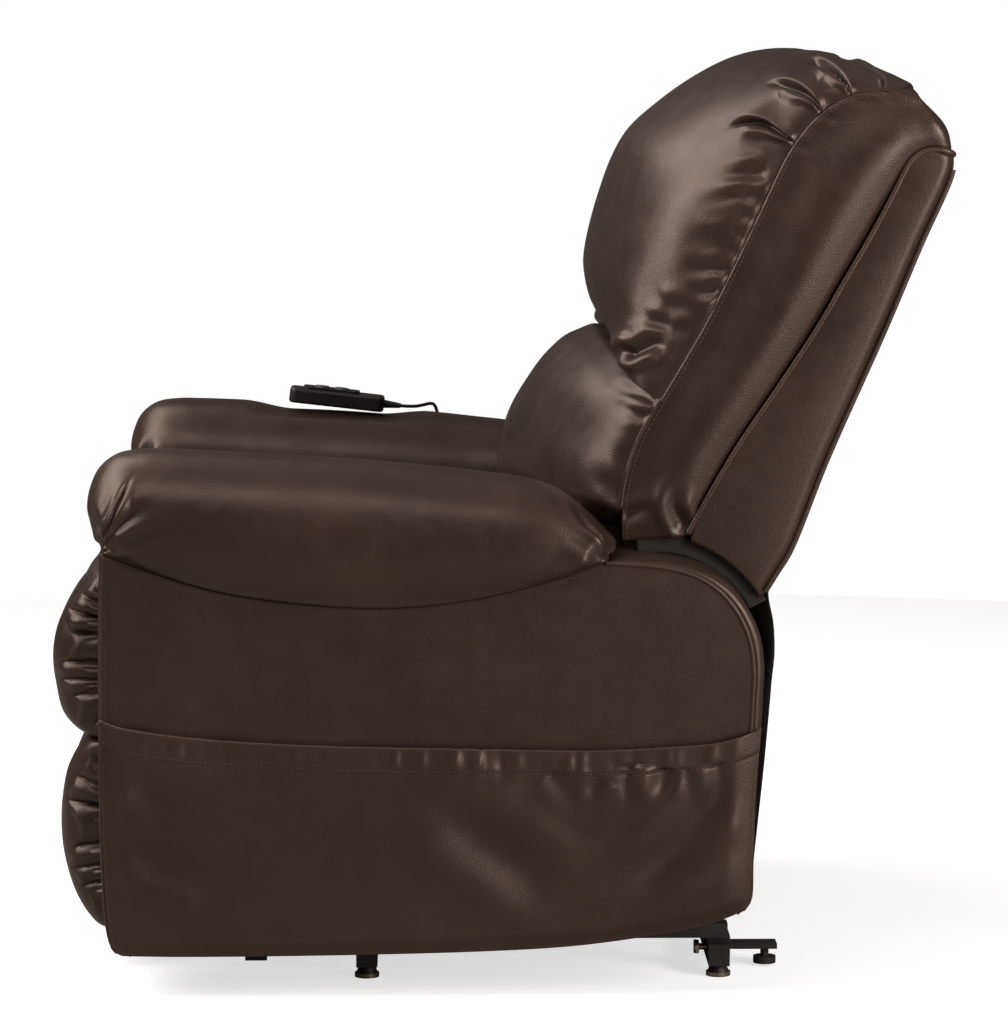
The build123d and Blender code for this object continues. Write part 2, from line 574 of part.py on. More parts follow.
def make_handset():
    frame = handset_frame()
    length, height = HANDSET_SIZE[1:]
    body = fillet(Box(*HANDSET_SIZE).edges().filter_by(Axis.Z), 9)
    body = fillet(body.edges().group_by(Axis.Z)[0] + body.edges().group_by(Axis.Z)[-1], 4)
    socket = Pos(0, -length / 2 + 6, 0) * Box(15, 14, 7.6)
    body -= socket
    key_at = Pos(0, KEYPAD_SHIFT, height / 2)
    keypad = key_at * Pos(0, 0, KEYPAD_SIZE[2] / 2) * fillet(Box(*KEYPAD_SIZE).edges().filter_by(Axis.Z), 8)
    for side, name in ((-1, "button_up"), (1, "button_down")):
        at = key_at * Pos(0, side * BUTTON_SPACING / 2, 0)
        keypad -= at * Pos(0, 0, 1.5 + BUTTON_TRAVEL) * Cylinder(BUTTON_RADIUS + 0.3, 3)
        button = at * Pos(0, 0, 1 + BUTTON_TRAVEL + BUTTON_HEIGHT / 2 + 0.1)
        button *= Cylinder(BUTTON_RADIUS, BUTTON_HEIGHT)
        export(name, frame * button)
    export("handset_body", frame * body)
    export("handset_keypad", frame * keypad)

    sleeve = Pos(0, -length / 2 + 6, 0) * Box(15, 12, 7.6)
    sleeve -= Pos(0, -length / 2 + 5, 0) * Box(13.4, 14, 6)
    tongue = Pos(0, -length / 2 + 6, 1.2) * Box(11, 12, 2)
    export("usb_socket", frame * (sleeve + tongue + Pos(0, -length / 2 + 11.5, 0) * Box(14, 1, 7)))

    relief = Pos(0, length / 2 + 11, 0) * Rot(-90, 0, 0) * Cone(5.5, 3.2, 22)
    export("handset_strain_relief", frame * relief)
    print("handset cord leaves at", (frame * Pos(0, length / 2 + 22, 0)).position)


def cord_path(points):
    """Straight runs joined by tangent arcs, each as large as its two runs allow."""
    corners = [Vector(*point) for point in points]
    radii = []
    for before, here, after in zip(corners, corners[1:], corners[2:]):
        turn = (here - before).get_angle(after - here)
        shorter = min((here - before).length, (after - here).length)
        radii.append(0.45 * shorter / tan(radians(turn / 2)))
    print("cord radii", [round(radius, 1) for radius in radii])
    return FilletPolyline(*corners, radius=radii)


CORD_ROUTE = [
    (-358, -115.04, 618.43),
    (-360, -100, 616.8),
    (-371, -86, 618),
    (-392, -76, 619),
    (-417, -70, 615),
    (-441.5, -66, 601),
    (-458.5, -61, 570),
    (-464.5, -54, 526),
    (-465, -42, 472),
    (-461, -22, 412),
    (-453, 8, 353),
    (-447.5, 48, 295),
    (-446, 94, 238),
    (-448, 137, 184),
    (-448, 176, 134),
    (-438, 200, 94),
    (-413, 211, 70),
    (-372, 215, 66),
    (-325, 214, 72),
    (-282, 208, 80),
    (-252, 192, 94),
    (-230, 163, 116),
    (-212, 128, 145),
    (-204, 97, 169),
    (-200, 72, 191),
    (-200, 60, 220),
    (-200, 60, 246),
]


def make_cord():
    path = cord_path(CORD_ROUTE)
    section = Plane(origin=path @ 0, z_dir=path % 0) * Circle(CORD_DIAMETER / 2)
    cord = sweep(section, path=path)
    ideal = pi * (CORD_DIAMETER / 2) ** 2 * path.length
    print("cord length", round(path.length, 1), "volume ratio", round(cord.volume / ideal, 5))
    export("handset_cord", cord)


os.makedirs("parts", exist_ok=True)
make_base()
make_lift()
make_carrier()
make_arms()
make_pocket()
make_back()
make_legrest()
make_electrics()
make_handset()
make_cord()
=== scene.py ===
"""Lift recliner chair: the looks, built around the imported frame.

Metres, +Z up. The chair faces -Y, and +X is the sitter's left. An outline in the chair's side plane
is a list of (y, z) points.
"""
import json
from math import cos, pi, radians, sin

import bmesh
import bpy
import numpy as np
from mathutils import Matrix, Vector
from mathutils.bvhtree import BVHTree

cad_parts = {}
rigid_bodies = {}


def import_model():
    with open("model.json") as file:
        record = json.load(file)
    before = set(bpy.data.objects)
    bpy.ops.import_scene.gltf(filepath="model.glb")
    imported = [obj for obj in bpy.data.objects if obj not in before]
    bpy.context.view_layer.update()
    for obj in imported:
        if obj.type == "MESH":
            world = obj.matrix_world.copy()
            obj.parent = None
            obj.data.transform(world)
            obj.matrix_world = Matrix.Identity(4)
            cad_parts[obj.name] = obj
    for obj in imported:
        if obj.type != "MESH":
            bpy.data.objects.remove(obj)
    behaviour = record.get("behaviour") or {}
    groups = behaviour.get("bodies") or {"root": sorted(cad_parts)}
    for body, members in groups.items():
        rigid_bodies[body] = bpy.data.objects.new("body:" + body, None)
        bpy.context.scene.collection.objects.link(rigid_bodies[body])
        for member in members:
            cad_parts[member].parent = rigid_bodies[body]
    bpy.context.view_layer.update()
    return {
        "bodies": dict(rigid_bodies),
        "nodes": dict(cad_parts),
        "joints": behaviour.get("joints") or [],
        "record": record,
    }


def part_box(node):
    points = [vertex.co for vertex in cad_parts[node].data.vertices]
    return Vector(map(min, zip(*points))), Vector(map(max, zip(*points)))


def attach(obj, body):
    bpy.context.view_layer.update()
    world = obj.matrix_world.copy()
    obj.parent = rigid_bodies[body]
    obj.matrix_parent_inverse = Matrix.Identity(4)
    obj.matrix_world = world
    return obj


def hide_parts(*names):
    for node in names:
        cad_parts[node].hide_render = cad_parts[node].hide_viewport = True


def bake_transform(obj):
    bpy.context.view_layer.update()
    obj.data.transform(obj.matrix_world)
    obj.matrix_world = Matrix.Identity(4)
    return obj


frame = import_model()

# ---------------------------------------------------------------- sizes
ARM_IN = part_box("left_side_cover")[0].x
ARM_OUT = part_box("left_side_cover")[1].x
PAD_IN, PAD_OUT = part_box("left_arm_pad")[0].x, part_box("left_arm_pad")[1].x
PAD_CREST_X = (PAD_IN + PAD_OUT) / 2
SHELL_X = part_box("back_shell")[1].x
SEAM_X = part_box("head_pillow")[1].x + 0.008  # the back pillows' side seams
BETWEEN_ARMS = 0.262                # the lumbar pillow's half width where it sits between the arms
LEG_PAD_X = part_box("legrest_upper_pad")[1].x
BOARD_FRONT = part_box("legrest_board")[0].y
POCKET_X = ARM_OUT + 0.0035         # the pouch's fabric where it is sewn down
UPHOLSTERY_GAP = 0.001              # the back cushions' seams lie this far inside the boxing's seam

HINGE = (0.187, 0.385)              # the back's hinge
SHELL_RADIUS = 0.137                # the shell's lower edge turns about the hinge
PIPING = 0.0038                     # radius of the piping cords
HEM_DEPTH = 0.0275                  # from the pouch's edge to its hem stitching
STITCH_PITCH = 0.0058
GRAIN = 620.0                       # leather pebbles per metre

# ---------------------------------------------------------------- outlines, as (y, z)
ARM_SEAM = [(-.4525, .519), (-.410, .503), (-.321, .475), (-.212, .459), (-.121, .455), (-.030, .464),
            (.070, .488), (.127, .509)]
ARM_CREST = [(-.4525, .519), (-.4630, .538), (-.4680, .564), (-.4645, .590), (-.4555, .609),
             (-.436, .624), (-.409, .629), (-.380, .629), (-.288, .624), (-.140, .615),
             (-.023, .604), (.033, .597), (.070, .585), (.099, .563), (.125, .537), (.138, .522),
             (.129, .511)]
COVER_FRONT = [(-.4305, .0515), (-.4415, .0560), (-.4475, .070), (-.4515, .095), (-.4550, .160),
               (-.4560, .230), (-.4560, .331), (-.4550, .430), (-.4525, .519)]
COVER_BOTTOM = [(-.4305, .0515), (-.366, .0505), (-.158, .052), (0, .056), (.090, .0615),
                (.170, .072), (.237, .084), (.287, .103)]
COVER_REAR = [(.287, .103), (.293, .112), (.295, .155), (.297, .226), (.302, .303), (.305, .359),
              (.306, .385), (.301, .421), (.286, .454), (.263, .480), (.233, .497), (.198, .505),
              (.160, .508), (.127, .509)]
POCKET_HEM = [(-.4545, .327), (-.433, .320), (-.335, .306), (-.195, .2975), (-.058, .2945), (.119, .2915),
              (.192, .295), (.252, .300), (.292, .311), (.3025, .316)]
HEAD_CREST = [(.480, 1.057), (.457, 1.069), (.429, 1.0785), (.395, 1.0865), (.355, 1.0895), (.297, 1.076),
              (.248, 1.052), (.203, 1.020), (.168, .989), (.147, .954), (.129, .902), (.119, .849),
              (.115, .815), (.117, .780), (.124, .766), (.140, .757), (.160, .752)]
HEAD_SEAM = [(.488, 1.0285), (.473, 1.034), (.447, 1.040), (.409, 1.0355), (.375, 1.0157), (.3465, .984),
             (.331, .958), (.316, .926), (.289, .868), (.2636, .815), (.240, .768), (.1905, .683)]
LUMBAR_CREST = [(.160, .746), (.140, .752), (.124, .755), (.103, .741), (.081, .725), (.060, .707),
                (.041, .681), (.025, .654), (.017, .634), (.011, .610), (.007, .578), (.009, .545),
                (.018, .517), (.045, .498)]
LUMBAR_SEAM = [(.1945, .682), (.190, .682), (.185, .674), (.166, .640), (.153, .600), (.147, .568),
               (.147, .520), (.152, .498)]
PIPING_SIDE = [(.2225, .528), (.2295, .541), (.278, .6255), (.328, .700), (.373, .769),
               (.403, .8215), (.432, .872), (.461, .927), (.4715, .949), (.481, .963),
               (.495, .9725), (.511, .974), (.527, .970)]
SHELL_REAR = [(.309, .451), (.3265, .480), (.343, .507), (.385, .614), (.450, .763), (.491, .862),
              (.5275, .948), (.5285, .9655)]
UPPER_PAD = [(-.457, .4785), (-.476, .474), (-.497, .453), (-.5115, .427), (-.5215, .402), (-.5260, .373),
             (-.5225, .338), (-.513, .304), (-.486, .278), (-.457, .277)]
LOWER_PAD = [(-.457, .277), (-.487, .274), (-.505, .243), (-.5165, .200), (-.5185, .166), (-.513, .128),
             (-.498, .085), (-.473, .050), (-.457, .046)]


# ---------------------------------------------------------------- curves and grids
def smooth_curve(points, count):
    """Evenly spaced points along a smooth curve through the given ones."""
    points = np.array(points, float)
    knots = np.concatenate([[0], np.cumsum(np.sqrt(np.linalg.norm(np.diff(points, axis=0), axis=1)))])
    slopes = np.gradient(points, knots, axis=0)
    at = np.linspace(0, knots[-1], 30 * len(points))
    i = np.clip(np.searchsorted(knots, at, side="right") - 1, 0, len(points) - 2)
    span = (knots[i + 1] - knots[i])[:, None]
    s = (at - knots[i])[:, None] / span
    start, end = points[i], points[i + 1]
    fine = start * (1 + 2 * s) * (1 - s) ** 2 + end * s * s * (3 - 2 * s)
    fine += span * (slopes[i] * s * (1 - s) ** 2 + slopes[i + 1] * s * s * (s - 1))
    return evenly(fine, count)


def evenly(points, count):
    """The polyline's own points, spaced evenly along it."""
    points = np.asarray(points, float)
    run = np.concatenate([[0], np.cumsum(np.linalg.norm(np.diff(points, axis=0), axis=1))])
    at = np.linspace(0, run[-1], count)
    return np.stack([np.interp(at, run, points[:, k]) for k in range(points.shape[1])], axis=1)


def in_side_plane(x, outline):
    """Points (x, y, z) from an outline of (y, z)."""
    outline = np.asarray(outline, float)
    return np.column_stack([np.broadcast_to(x, len(outline)), outline])


def smoothstep(values, low, high):
    s = np.clip((np.asarray(values, float) - low) / (high - low), 0, 1)
    return s * s * (3 - 2 * s)


def power(values, exponent):
    return np.sign(values) * np.abs(values) ** exponent


def coons(bottom, top, front, rear):
    """A patch of points between four outlines: rows from bottom to top, columns from front to rear."""
    rows, columns = len(front), len(bottom)
    v, u = np.linspace(0, 1, rows)[:, None, None], np.linspace(0, 1, columns)[None, :, None]
    across = (1 - v) * bottom[None] + v * top[None]
    along = (1 - u) * front[:, None] + u * rear[:, None]
    corners = (1 - u) * ((1 - v) * bottom[0] + v * top[0]) + u * ((1 - v) * bottom[-1] + v * top[-1])
    return across + along - corners


def mesh_object(name, vertices, faces, material):
    mesh = bpy.data.meshes.new(name)
    mesh.from_pydata([tuple(v) for v in vertices], [], [tuple(f) for f in faces])
    work = bmesh.new()
    work.from_mesh(mesh)
    bmesh.ops.remove_doubles(work, verts=work.verts, dist=2e-5)
    bmesh.ops.recalc_face_normals(work, faces=work.faces)
    work.to_mesh(mesh)
    work.free()
    mesh.shade_smooth()
    mesh.materials.append(material)
    piece = bpy.data.objects.new(name, mesh)
    bpy.context.scene.collection.objects.link(piece)
    return piece


def grid_faces(rows, columns, wrap_columns=False):
    index = np.arange(rows * columns).reshape(rows, columns)
    if wrap_columns:
        index = np.hstack([index, index[:, :1]])
    corners = [index[:-1, :-1], index[:-1, 1:], index[1:, 1:], index[1:, :-1]]
    return np.stack(corners, axis=-1).reshape(-1, 4)


def grid_object(name, grid, material, wrap_columns=False, cap_ends=False):
    """A quad mesh through a grid of points, its rows of points closed into rings if wanted."""
    rows, columns = grid.shape[:2]
    faces = grid_faces(rows, columns, wrap_columns).tolist()
    if cap_ends:
        faces += [list(range(columns)), list(range((rows - 1) * columns, rows * columns))]
    return mesh_object(name, grid.reshape(-1, 3), faces, material)


def thicken(piece, thickness, offset):
    """Gives an open sheet its thickness. The offset is -1 for inward and 0 for both ways."""
    solid = piece.modifiers.new("Solidify", "SOLIDIFY")
    solid.thickness = thickness
    solid.offset = offset
    apply_modifiers(piece)


def apply_modifiers(piece):
    graph = bpy.context.evaluated_depsgraph_get()
    mesh = bpy.data.meshes.new_from_object(piece.evaluated_get(graph))
    piece.modifiers.clear()
    old, piece.data = piece.data, mesh
    bpy.data.meshes.remove(old)


def tube(name, route, radius, material, sides=10):
    """A round cord along a route of points, closed at both ends."""
    route = np.asarray(route, float)
    along = np.gradient(route, axis=0)
    along /= np.linalg.norm(along, axis=1, keepdims=True)
    normal = np.zeros_like(along)
    first = np.cross(along[0], (0.3, 0.5, 0.81))
    normal[0] = first / np.linalg.norm(first)
    for i in range(1, len(route)):
        n = normal[i - 1] - along[i] * (normal[i - 1] @ along[i])
        normal[i] = n / np.linalg.norm(n)
    other = np.cross(along, normal)
    turn = np.linspace(0, 2 * pi, sides, endpoint=False)
    ring = np.cos(turn)[None, :, None] * normal[:, None] + np.sin(turn)[None, :, None] * other[:, None]
    return grid_object(name, route[:, None] + radius * ring, material, wrap_columns=True, cap_ends=True)


STITCH_SIDES = 6
STITCH_REACH = 1.35                 # a stitch's length over half the pitch
STITCH_SHAPE = [(0.06, 0.45), (0.25, 1.0), (0.75, 1.0), (0.94, 0.45)]  # place along it, thickness


def stitches(name, route, outward, material, pitch=STITCH_PITCH, radius=0.00045, lift=0.0002):
    """A run of short raised thread lengths along a route."""
    route = np.asarray(route, float)
    length = np.linalg.norm(np.diff(route, axis=0), axis=1).sum()
    count = max(2, int(length / pitch))
    ends = evenly(route, 2 * count + 1)
    vertices, faces = [], []
    turn = np.linspace(0, 2 * pi, STITCH_SIDES, endpoint=False)
    last = STITCH_SIDES * (len(STITCH_SHAPE) - 1)
    for i in range(count):
        start, end = ends[2 * i], ends[2 * i] + (ends[2 * i + 1] - ends[2 * i]) * STITCH_REACH
        along = (end - start) / np.linalg.norm(end - start)
        up = np.array(outward(start) if callable(outward) else outward, float)
        up -= along * (up @ along)
        up /= np.linalg.norm(up)
        side = np.cross(along, up)
        base = len(vertices)
        for place, size in STITCH_SHAPE:
            centre = start + (end - start) * place + up * (lift if size == 1.0 else -lift)
            for a in turn:
                vertices.append(centre + radius * size * (cos(a) * side + sin(a) * up))
        for ring in range(base, base + last, STITCH_SIDES):
            for j in range(STITCH_SIDES):
                a, b = ring + j, ring + (j + 1) % STITCH_SIDES
                faces.append((a, b, b + STITCH_SIDES, a + STITCH_SIDES))
        faces.append(tuple(range(base, base + STITCH_SIDES)))
        faces.append(tuple(range(base + last, base + last + STITCH_SIDES)))
    return mesh_object(name, vertices, faces, material)


# ---------------------------------------------------------------- folds
def fold(path, width, depth, shoulder=0.55, fade_in=0.0, fade_out=0.35):
    """A crease along a short path: its half width, depth, and the shares at its ends where it fades."""
    route = smooth_curve(path, 24) if len(path) > 2 else evenly(path, 24)
    return {"path": route, "width": width, "depth": depth, "shoulder": shoulder, "fade_in": fade_in,
            "fade_out": fade_out}


def nearest_along(points, path):
    """For each point: its offset from the path, its share along it, and the path's direction there."""
    step = np.diff(path, axis=0)
    offset = points[:, None] - path[None, :-1]
    share = np.clip(np.sum(offset * step, axis=2) / np.sum(step * step, axis=1), 0, 1)
    offset = offset - share[..., None] * step
    best = np.linalg.norm(offset, axis=2).argmin(1)
    rows = np.arange(len(points))
    return offset[rows, best], (best + share[rows, best]) / len(step), step[best]


def fold_height(points, creases):
    """How far each point is raised by the creases near it: a trough with a soft ridge on either side."""
    height = np.zeros(len(points))
    for crease in creases:
        path = crease["path"]
        low, high = path.min(0) - 5 * crease["width"], path.max(0) + 5 * crease["width"]
        near = np.flatnonzero(np.all((points > low) & (points < high), axis=1))
        if not len(near):
            continue
        offset, place, _ = nearest_along(points[near], path)
        distance = np.linalg.norm(offset, axis=1) / crease["width"]
        fade = smoothstep(place, -1e-3, crease["fade_in"]) if crease["fade_in"] else 1.0
        fade = fade * (1 - smoothstep(place, 1 - crease["fade_out"], 1.0))
        trough = -np.exp(-distance ** 2)
        ridge = crease["shoulder"] * np.exp(-((distance - 2.0) / 0.95) ** 2)
        height[near] += crease["depth"] * fade * (trough + ridge)
    return height


def pleat_height(outline, path, lip, recess, reach, over):
    """A tucked pleat in the side plane. Fabric laps over the path from its left (over 1) or right (-1).

    The lap ends in a sharp lip. Beyond it lie a narrow recess and the soft ridge of the fabric beneath.
    """
    path = smooth_curve(path, 40)
    offset, place, step = nearest_along(outline, path)
    left = step[:, 0] * offset[:, 1] - step[:, 1] * offset[:, 0]
    gap = np.linalg.norm(offset, axis=1) * np.where(left * over >= 0, 1.0, -1.0)
    breadth = reach * (0.30 + 0.70 * smoothstep(place, 0.0, 0.55))
    lap = lip * np.exp(-(np.maximum(gap, 0) / breadth) ** 1.3)
    edge = smoothstep(gap, -0.0030, 0.0006)
    under = -recess * np.exp(-((gap + 0.10 * breadth) / (0.28 * breadth)) ** 2)
    under = under + 0.55 * recess * np.exp(-((gap + 0.95 * breadth) / (0.42 * breadth)) ** 2)
    fade = (0.45 + 0.55 * smoothstep(place, 0, 0.18)) * (1 - smoothstep(place, 0.62, 1.0))
    beyond = (place > 0) & (place < 1)
    return fade * beyond * (lap * edge + under * (1 - edge))


WAVES = 7


def noise_height(points, scale, seed):
    """Slow, smooth unevenness from a few sine waves with seeded directions."""
    rng = np.random.default_rng(seed)
    total = np.zeros(len(points))
    for _ in range(WAVES):
        direction = rng.normal(size=3)
        direction *= rng.uniform(0.6, 1.5) * scale / np.linalg.norm(direction)
        total += np.sin(points @ direction + rng.uniform(0, 2 * pi)) / WAVES
    return total


def raise_points(piece, height_of):
    """Moves each vertex along its normal by a height worked out from the vertices' places."""
    mesh = piece.data
    count = len(mesh.vertices)
    points, normals = np.zeros(count * 3), np.zeros(count * 3)
    mesh.vertices.foreach_get("co", points)
    mesh.vertices.foreach_get("normal", normals)
    points, normals = points.reshape(-1, 3), normals.reshape(-1, 3)
    points = points + normals * height_of(points)[:, None]
    mesh.vertices.foreach_set("co", points.ravel())
    mesh.update()


# ---------------------------------------------------------------- padding
SWELL_FRAMES = 20
SWELL_PRESSURE = 4.0
SKIN_STIFFNESS = {"tension_stiffness": 20, "compression_stiffness": 20, "shear_stiffness": 8,
                  "bending_stiffness": 0.6}
OWN_SIZE = 0.9                      # the share of the broad swelling that the piece starts smaller by


def blurred(field, reach):
    """A field over a grid, averaged over a window of the given numbers of rows and columns."""
    for axis, half in enumerate(reach):
        edge = [(half, half) if k == axis else (0, 0) for k in range(field.ndim)]
        total = np.cumsum(np.pad(field, edge, mode="edge"), axis=axis)
        lead = np.zeros_like(np.take(total, [0], axis=axis))
        total = np.concatenate([lead, total], axis=axis)
        window = 2 * half + 1
        high = np.take(total, np.arange(window, total.shape[axis]), axis=axis)
        low = np.take(total, np.arange(0, total.shape[axis] - window), axis=axis)
        field = (high - low) / window
    return field


def spread(field, shape):
    """A coarse field over a grid, drawn out smoothly to a finer grid of the given shape."""
    for axis, count in enumerate(shape):
        at = np.linspace(0, field.shape[axis] - 1, count)
        low = np.minimum(at.astype(int), field.shape[axis] - 2)
        share = (at - low).reshape([-1 if k == axis else 1 for k in range(field.ndim)])
        share = share * share * (3 - 2 * share)
        field = np.take(field, low, axis=axis) * (1 - share) + np.take(field, low + 1, axis=axis) * share
    return field


def swollen(grid, sewn_rows, coarse, cap, slack=0.03):
    """The face of a padded piece after its skin, cut a little full, is blown out by its filling.

    The grid's first and last columns are its seams. sewn_rows says whether its first and last rows are
    sewn too. The piece starts smaller by the broad part of the swelling, so it ends at its own size.
    """
    rows = np.linspace(0, len(grid) - 1, coarse[0]).round().astype(int)
    columns = np.linspace(0, grid.shape[1] - 1, coarse[1]).round().astype(int)
    skin = grid[np.ix_(rows, columns)]
    mesh = bpy.data.meshes.new("swelling")
    mesh.from_pydata(skin.reshape(-1, 3).tolist(), [], grid_faces(*coarse).tolist())
    piece = bpy.data.objects.new("swelling", mesh)
    bpy.context.scene.collection.objects.link(piece)
    outward = skin.reshape(-1, 3).mean(0) - (skin[:, 0] + skin[:, -1]).mean(0) / 2
    turn_outward(piece, outward)
    held = np.zeros(coarse, bool)
    held[:, [0, -1]] = True
    if sewn_rows:
        held[[0, -1]] = True
    piece.vertex_groups.new(name="sewn").add(np.flatnonzero(held.ravel()).tolist(), 1.0, "ADD")
    cloth = piece.modifiers.new("Cloth", "CLOTH")
    settings = cloth.settings
    settings.quality = 6
    settings.mass = 0.4
    for key, stiffness in SKIN_STIFFNESS.items():
        setattr(settings, key, stiffness)
    settings.shrink_min = -slack
    settings.use_pressure = True
    settings.uniform_pressure_force = SWELL_PRESSURE
    settings.vertex_group_mass = "sewn"
    settings.effector_weights.gravity = 0
    cloth.point_cache.frame_start, cloth.point_cache.frame_end = 1, SWELL_FRAMES
    for frame in range(1, SWELL_FRAMES + 1):
        bpy.context.scene.frame_set(frame)
    apply_modifiers(piece)
    after = np.zeros(coarse[0] * coarse[1] * 3)
    piece.data.vertices.foreach_get("co", after)
    bpy.data.objects.remove(piece)
    bpy.context.scene.frame_set(1)
    move = after.reshape(skin.shape) - skin
    size = np.linalg.norm(move, axis=2, keepdims=True)
    move = move * np.minimum(1, cap / np.maximum(size, 1e-9))
    broad = blurred(move, (coarse[0] // 7, coarse[1] // 7))
    fine = spread(move - broad * OWN_SIZE, grid.shape[:2])
    step = (2 * len(grid) // coarse[0], 2 * grid.shape[1] // coarse[1])
    fine = blurred(blurred(fine, step), step)
    across = np.linspace(0, 1, grid.shape[1])[None, :, None]
    along = np.linspace(0, 1, len(grid))[:, None, None]
    keep = smoothstep(across, 0, 0.03) * (1 - smoothstep(across, 0.97, 1))
    if sewn_rows:
        keep = keep * smoothstep(along, 0, 0.04) * (1 - smoothstep(along, 0.96, 1))
    return grid + fine * keep


# ---------------------------------------------------------------- materials
class Shader:
    """A new material's node tree, with short calls for the nodes it needs."""

    def __init__(self, name, colour, roughness, metallic=0.0, **sockets):
        self.material = bpy.data.materials.new(name)
        self.material.use_nodes = True
        self.nodes = self.material.node_tree.nodes
        self.links = self.material.node_tree.links
        self.surface = self.nodes["Principled BSDF"]
        self.surface.inputs["Base Color"].default_value = (*colour, 1)
        self.surface.inputs["Roughness"].default_value = roughness
        self.surface.inputs["Metallic"].default_value = metallic
        for key, value in sockets.items():
            self.surface.inputs[key.replace("_", " ")].default_value = value
        self.place = self.node("ShaderNodeTexCoord").outputs["Object"]

    def node(self, kind, **values):
        made = self.nodes.new(kind)
        for key, value in values.items():
            if key in made.inputs:
                made.inputs[key].default_value = value
            else:
                setattr(made, key, value)
        return made

    def join(self, output, target):
        self.links.new(output, target)

    def noise(self, scale, detail=3.0, stretch=None):
        made = self.node("ShaderNodeTexNoise", Scale=scale, Detail=detail)
        self.join(self.stretched(stretch), made.inputs["Vector"])
        return made.outputs["Fac"]

    def cells(self, scale, feature="F1", stretch=None):
        made = self.node("ShaderNodeTexVoronoi", Scale=scale, feature=feature)
        self.join(self.stretched(stretch), made.inputs["Vector"])
        return made.outputs["Distance"]

    def waves(self, scale, direction="Z", distortion=0.0):
        made = self.node("ShaderNodeTexWave", Scale=scale, Distortion=distortion, bands_direction=direction)
        self.join(self.place, made.inputs["Vector"])
        return made.outputs["Fac"]

    def stretched(self, stretch):
        if stretch is None:
            return self.place
        made = self.node("ShaderNodeMapping", Scale=stretch)
        self.join(self.place, made.inputs["Vector"])
        return made.outputs["Vector"]

    def ramp(self, value, *stops):
        """Colours or greys by value. A stop is (place, grey) or (place, (r, g, b))."""
        made = self.node("ShaderNodeValToRGB")
        elements = made.color_ramp.elements
        while len(elements) < len(stops):
            elements.new(0.5)
        for element, (at, colour) in zip(elements, stops):
            element.position = at
            element.color = (*colour, 1) if hasattr(colour, "__len__") else (colour, colour, colour, 1)
        self.join(value, made.inputs["Fac"])
        return made.outputs["Color"]

    def mixed(self, factor, first, second, blend="MIX"):
        made = self.node("ShaderNodeMix", data_type="RGBA", blend_type=blend)
        for socket, value in (("Factor", factor), ("A", first), ("B", second)):
            self.set_or_join(value, made.inputs[socket])
        return made.outputs["Result"]

    def set_or_join(self, value, target):
        if isinstance(value, bpy.types.NodeSocket):
            self.join(value, target)
        elif hasattr(value, "__len__"):
            target.default_value = (*value, 1)
        else:
            target.default_value = value

    def maths(self, operation, first, second):
        made = self.node("ShaderNodeMath", operation=operation)
        self.set_or_join(first, made.inputs[0])
        self.set_or_join(second, made.inputs[1])
        return made.outputs["Value"]

    def colour(self, output):
        self.join(output, self.surface.inputs["Base Color"])

    def roughness(self, output):
        self.join(output, self.surface.inputs["Roughness"])

    def bump(self, height, strength, distance, under=None):
        made = self.node("ShaderNodeBump", Strength=strength, Distance=distance)
        self.join(height, made.inputs["Height"])
        if under is not None:
            self.join(under, made.inputs["Normal"])
        self.join(made.outputs["Normal"], self.surface.inputs["Normal"])
        return made.outputs["Normal"]


def leather(name, deep, mid, roughness):
    """Coated faux leather: pebble grain, cloudy colour, painted shade darkening the creases, and ridges
    lightened as wear.
    """
    shade = Shader(name, mid, roughness, Coat_Weight=0.04, Coat_Roughness=0.25, Specular_IOR_Level=0.62,
                   Specular_Tint=(1.0, 0.88, 0.82, 1))
    cloud = shade.ramp(shade.noise(7.0, 5.0), (0.32, deep), (0.68, mid))
    # painted shade: the creases are darkened by their curvature (pointiness); the ridges are lightened as
    # wear
    crease_shade_and_ridge_wear = shade.node("ShaderNodeNewGeometry").outputs["Pointiness"]
    ridge = shade.ramp(crease_shade_and_ridge_wear, (0.44, 0.62), (0.50, 1.0), (0.56, 1.45))
    shade.colour(shade.mixed(1.0, cloud, ridge, "MULTIPLY"))
    patch = shade.noise(38.0, 4.0)
    shade.roughness(shade.ramp(patch, (0.30, roughness - 0.05), (0.72, roughness + 0.07)))
    pebble = shade.ramp(shade.cells(GRAIN, "SMOOTH_F1"), (0.05, 0.0), (0.60, 1.0))
    fine = shade.bump(pebble, 0.28, 0.0004)
    shade.bump(shade.noise(150.0, 4.0), 0.16, 0.0008, fine)
    return shade.material


def thread(name, colour):
    shade = Shader(name, colour, 0.6, Sheen_Weight=0.3)
    twist = shade.waves(900.0, "DIAGONAL", 1.5)
    shade.colour(shade.ramp(twist, (0.2, [c * 0.6 for c in colour]), (0.8, colour)))
    shade.bump(twist, 0.4, 0.0003)
    return shade.material


def powder_coat(name, colour, roughness=0.42):
    """Black coated steel: orange-peel texture, scuffs and a little dust."""
    shade = Shader(name, colour, roughness)
    dust = shade.noise(24.0, 6.0)
    shade.colour(shade.ramp(dust, (0.35, colour), (0.75, [c * 1.9 + 0.004 for c in colour])))
    shade.roughness(shade.ramp(dust, (0.3, roughness - 0.08), (0.7, roughness + 0.14)))
    peel = shade.bump(shade.noise(700.0, 2.0), 0.22, 0.0004)
    shade.bump(shade.noise(60.0, 5.0), 0.1, 0.0008, peel)
    return shade.material


def metal(name, colour, roughness, brushing=(1, 1, 30)):
    """Plated or bare metal with fine drawn lines and faint staining."""
    shade = Shader(name, colour, roughness, metallic=1.0)
    lines = shade.noise(160.0, 3.0, brushing)
    stain = shade.noise(30.0, 4.0)
    shade.colour(shade.ramp(stain, (0.3, [c * 0.78 for c in colour]), (0.7, colour)))
    shade.roughness(shade.ramp(lines, (0.3, roughness * 0.75), (0.7, min(1.0, roughness * 1.35))))
    shade.bump(lines, 0.12, 0.0003)
    return shade.material


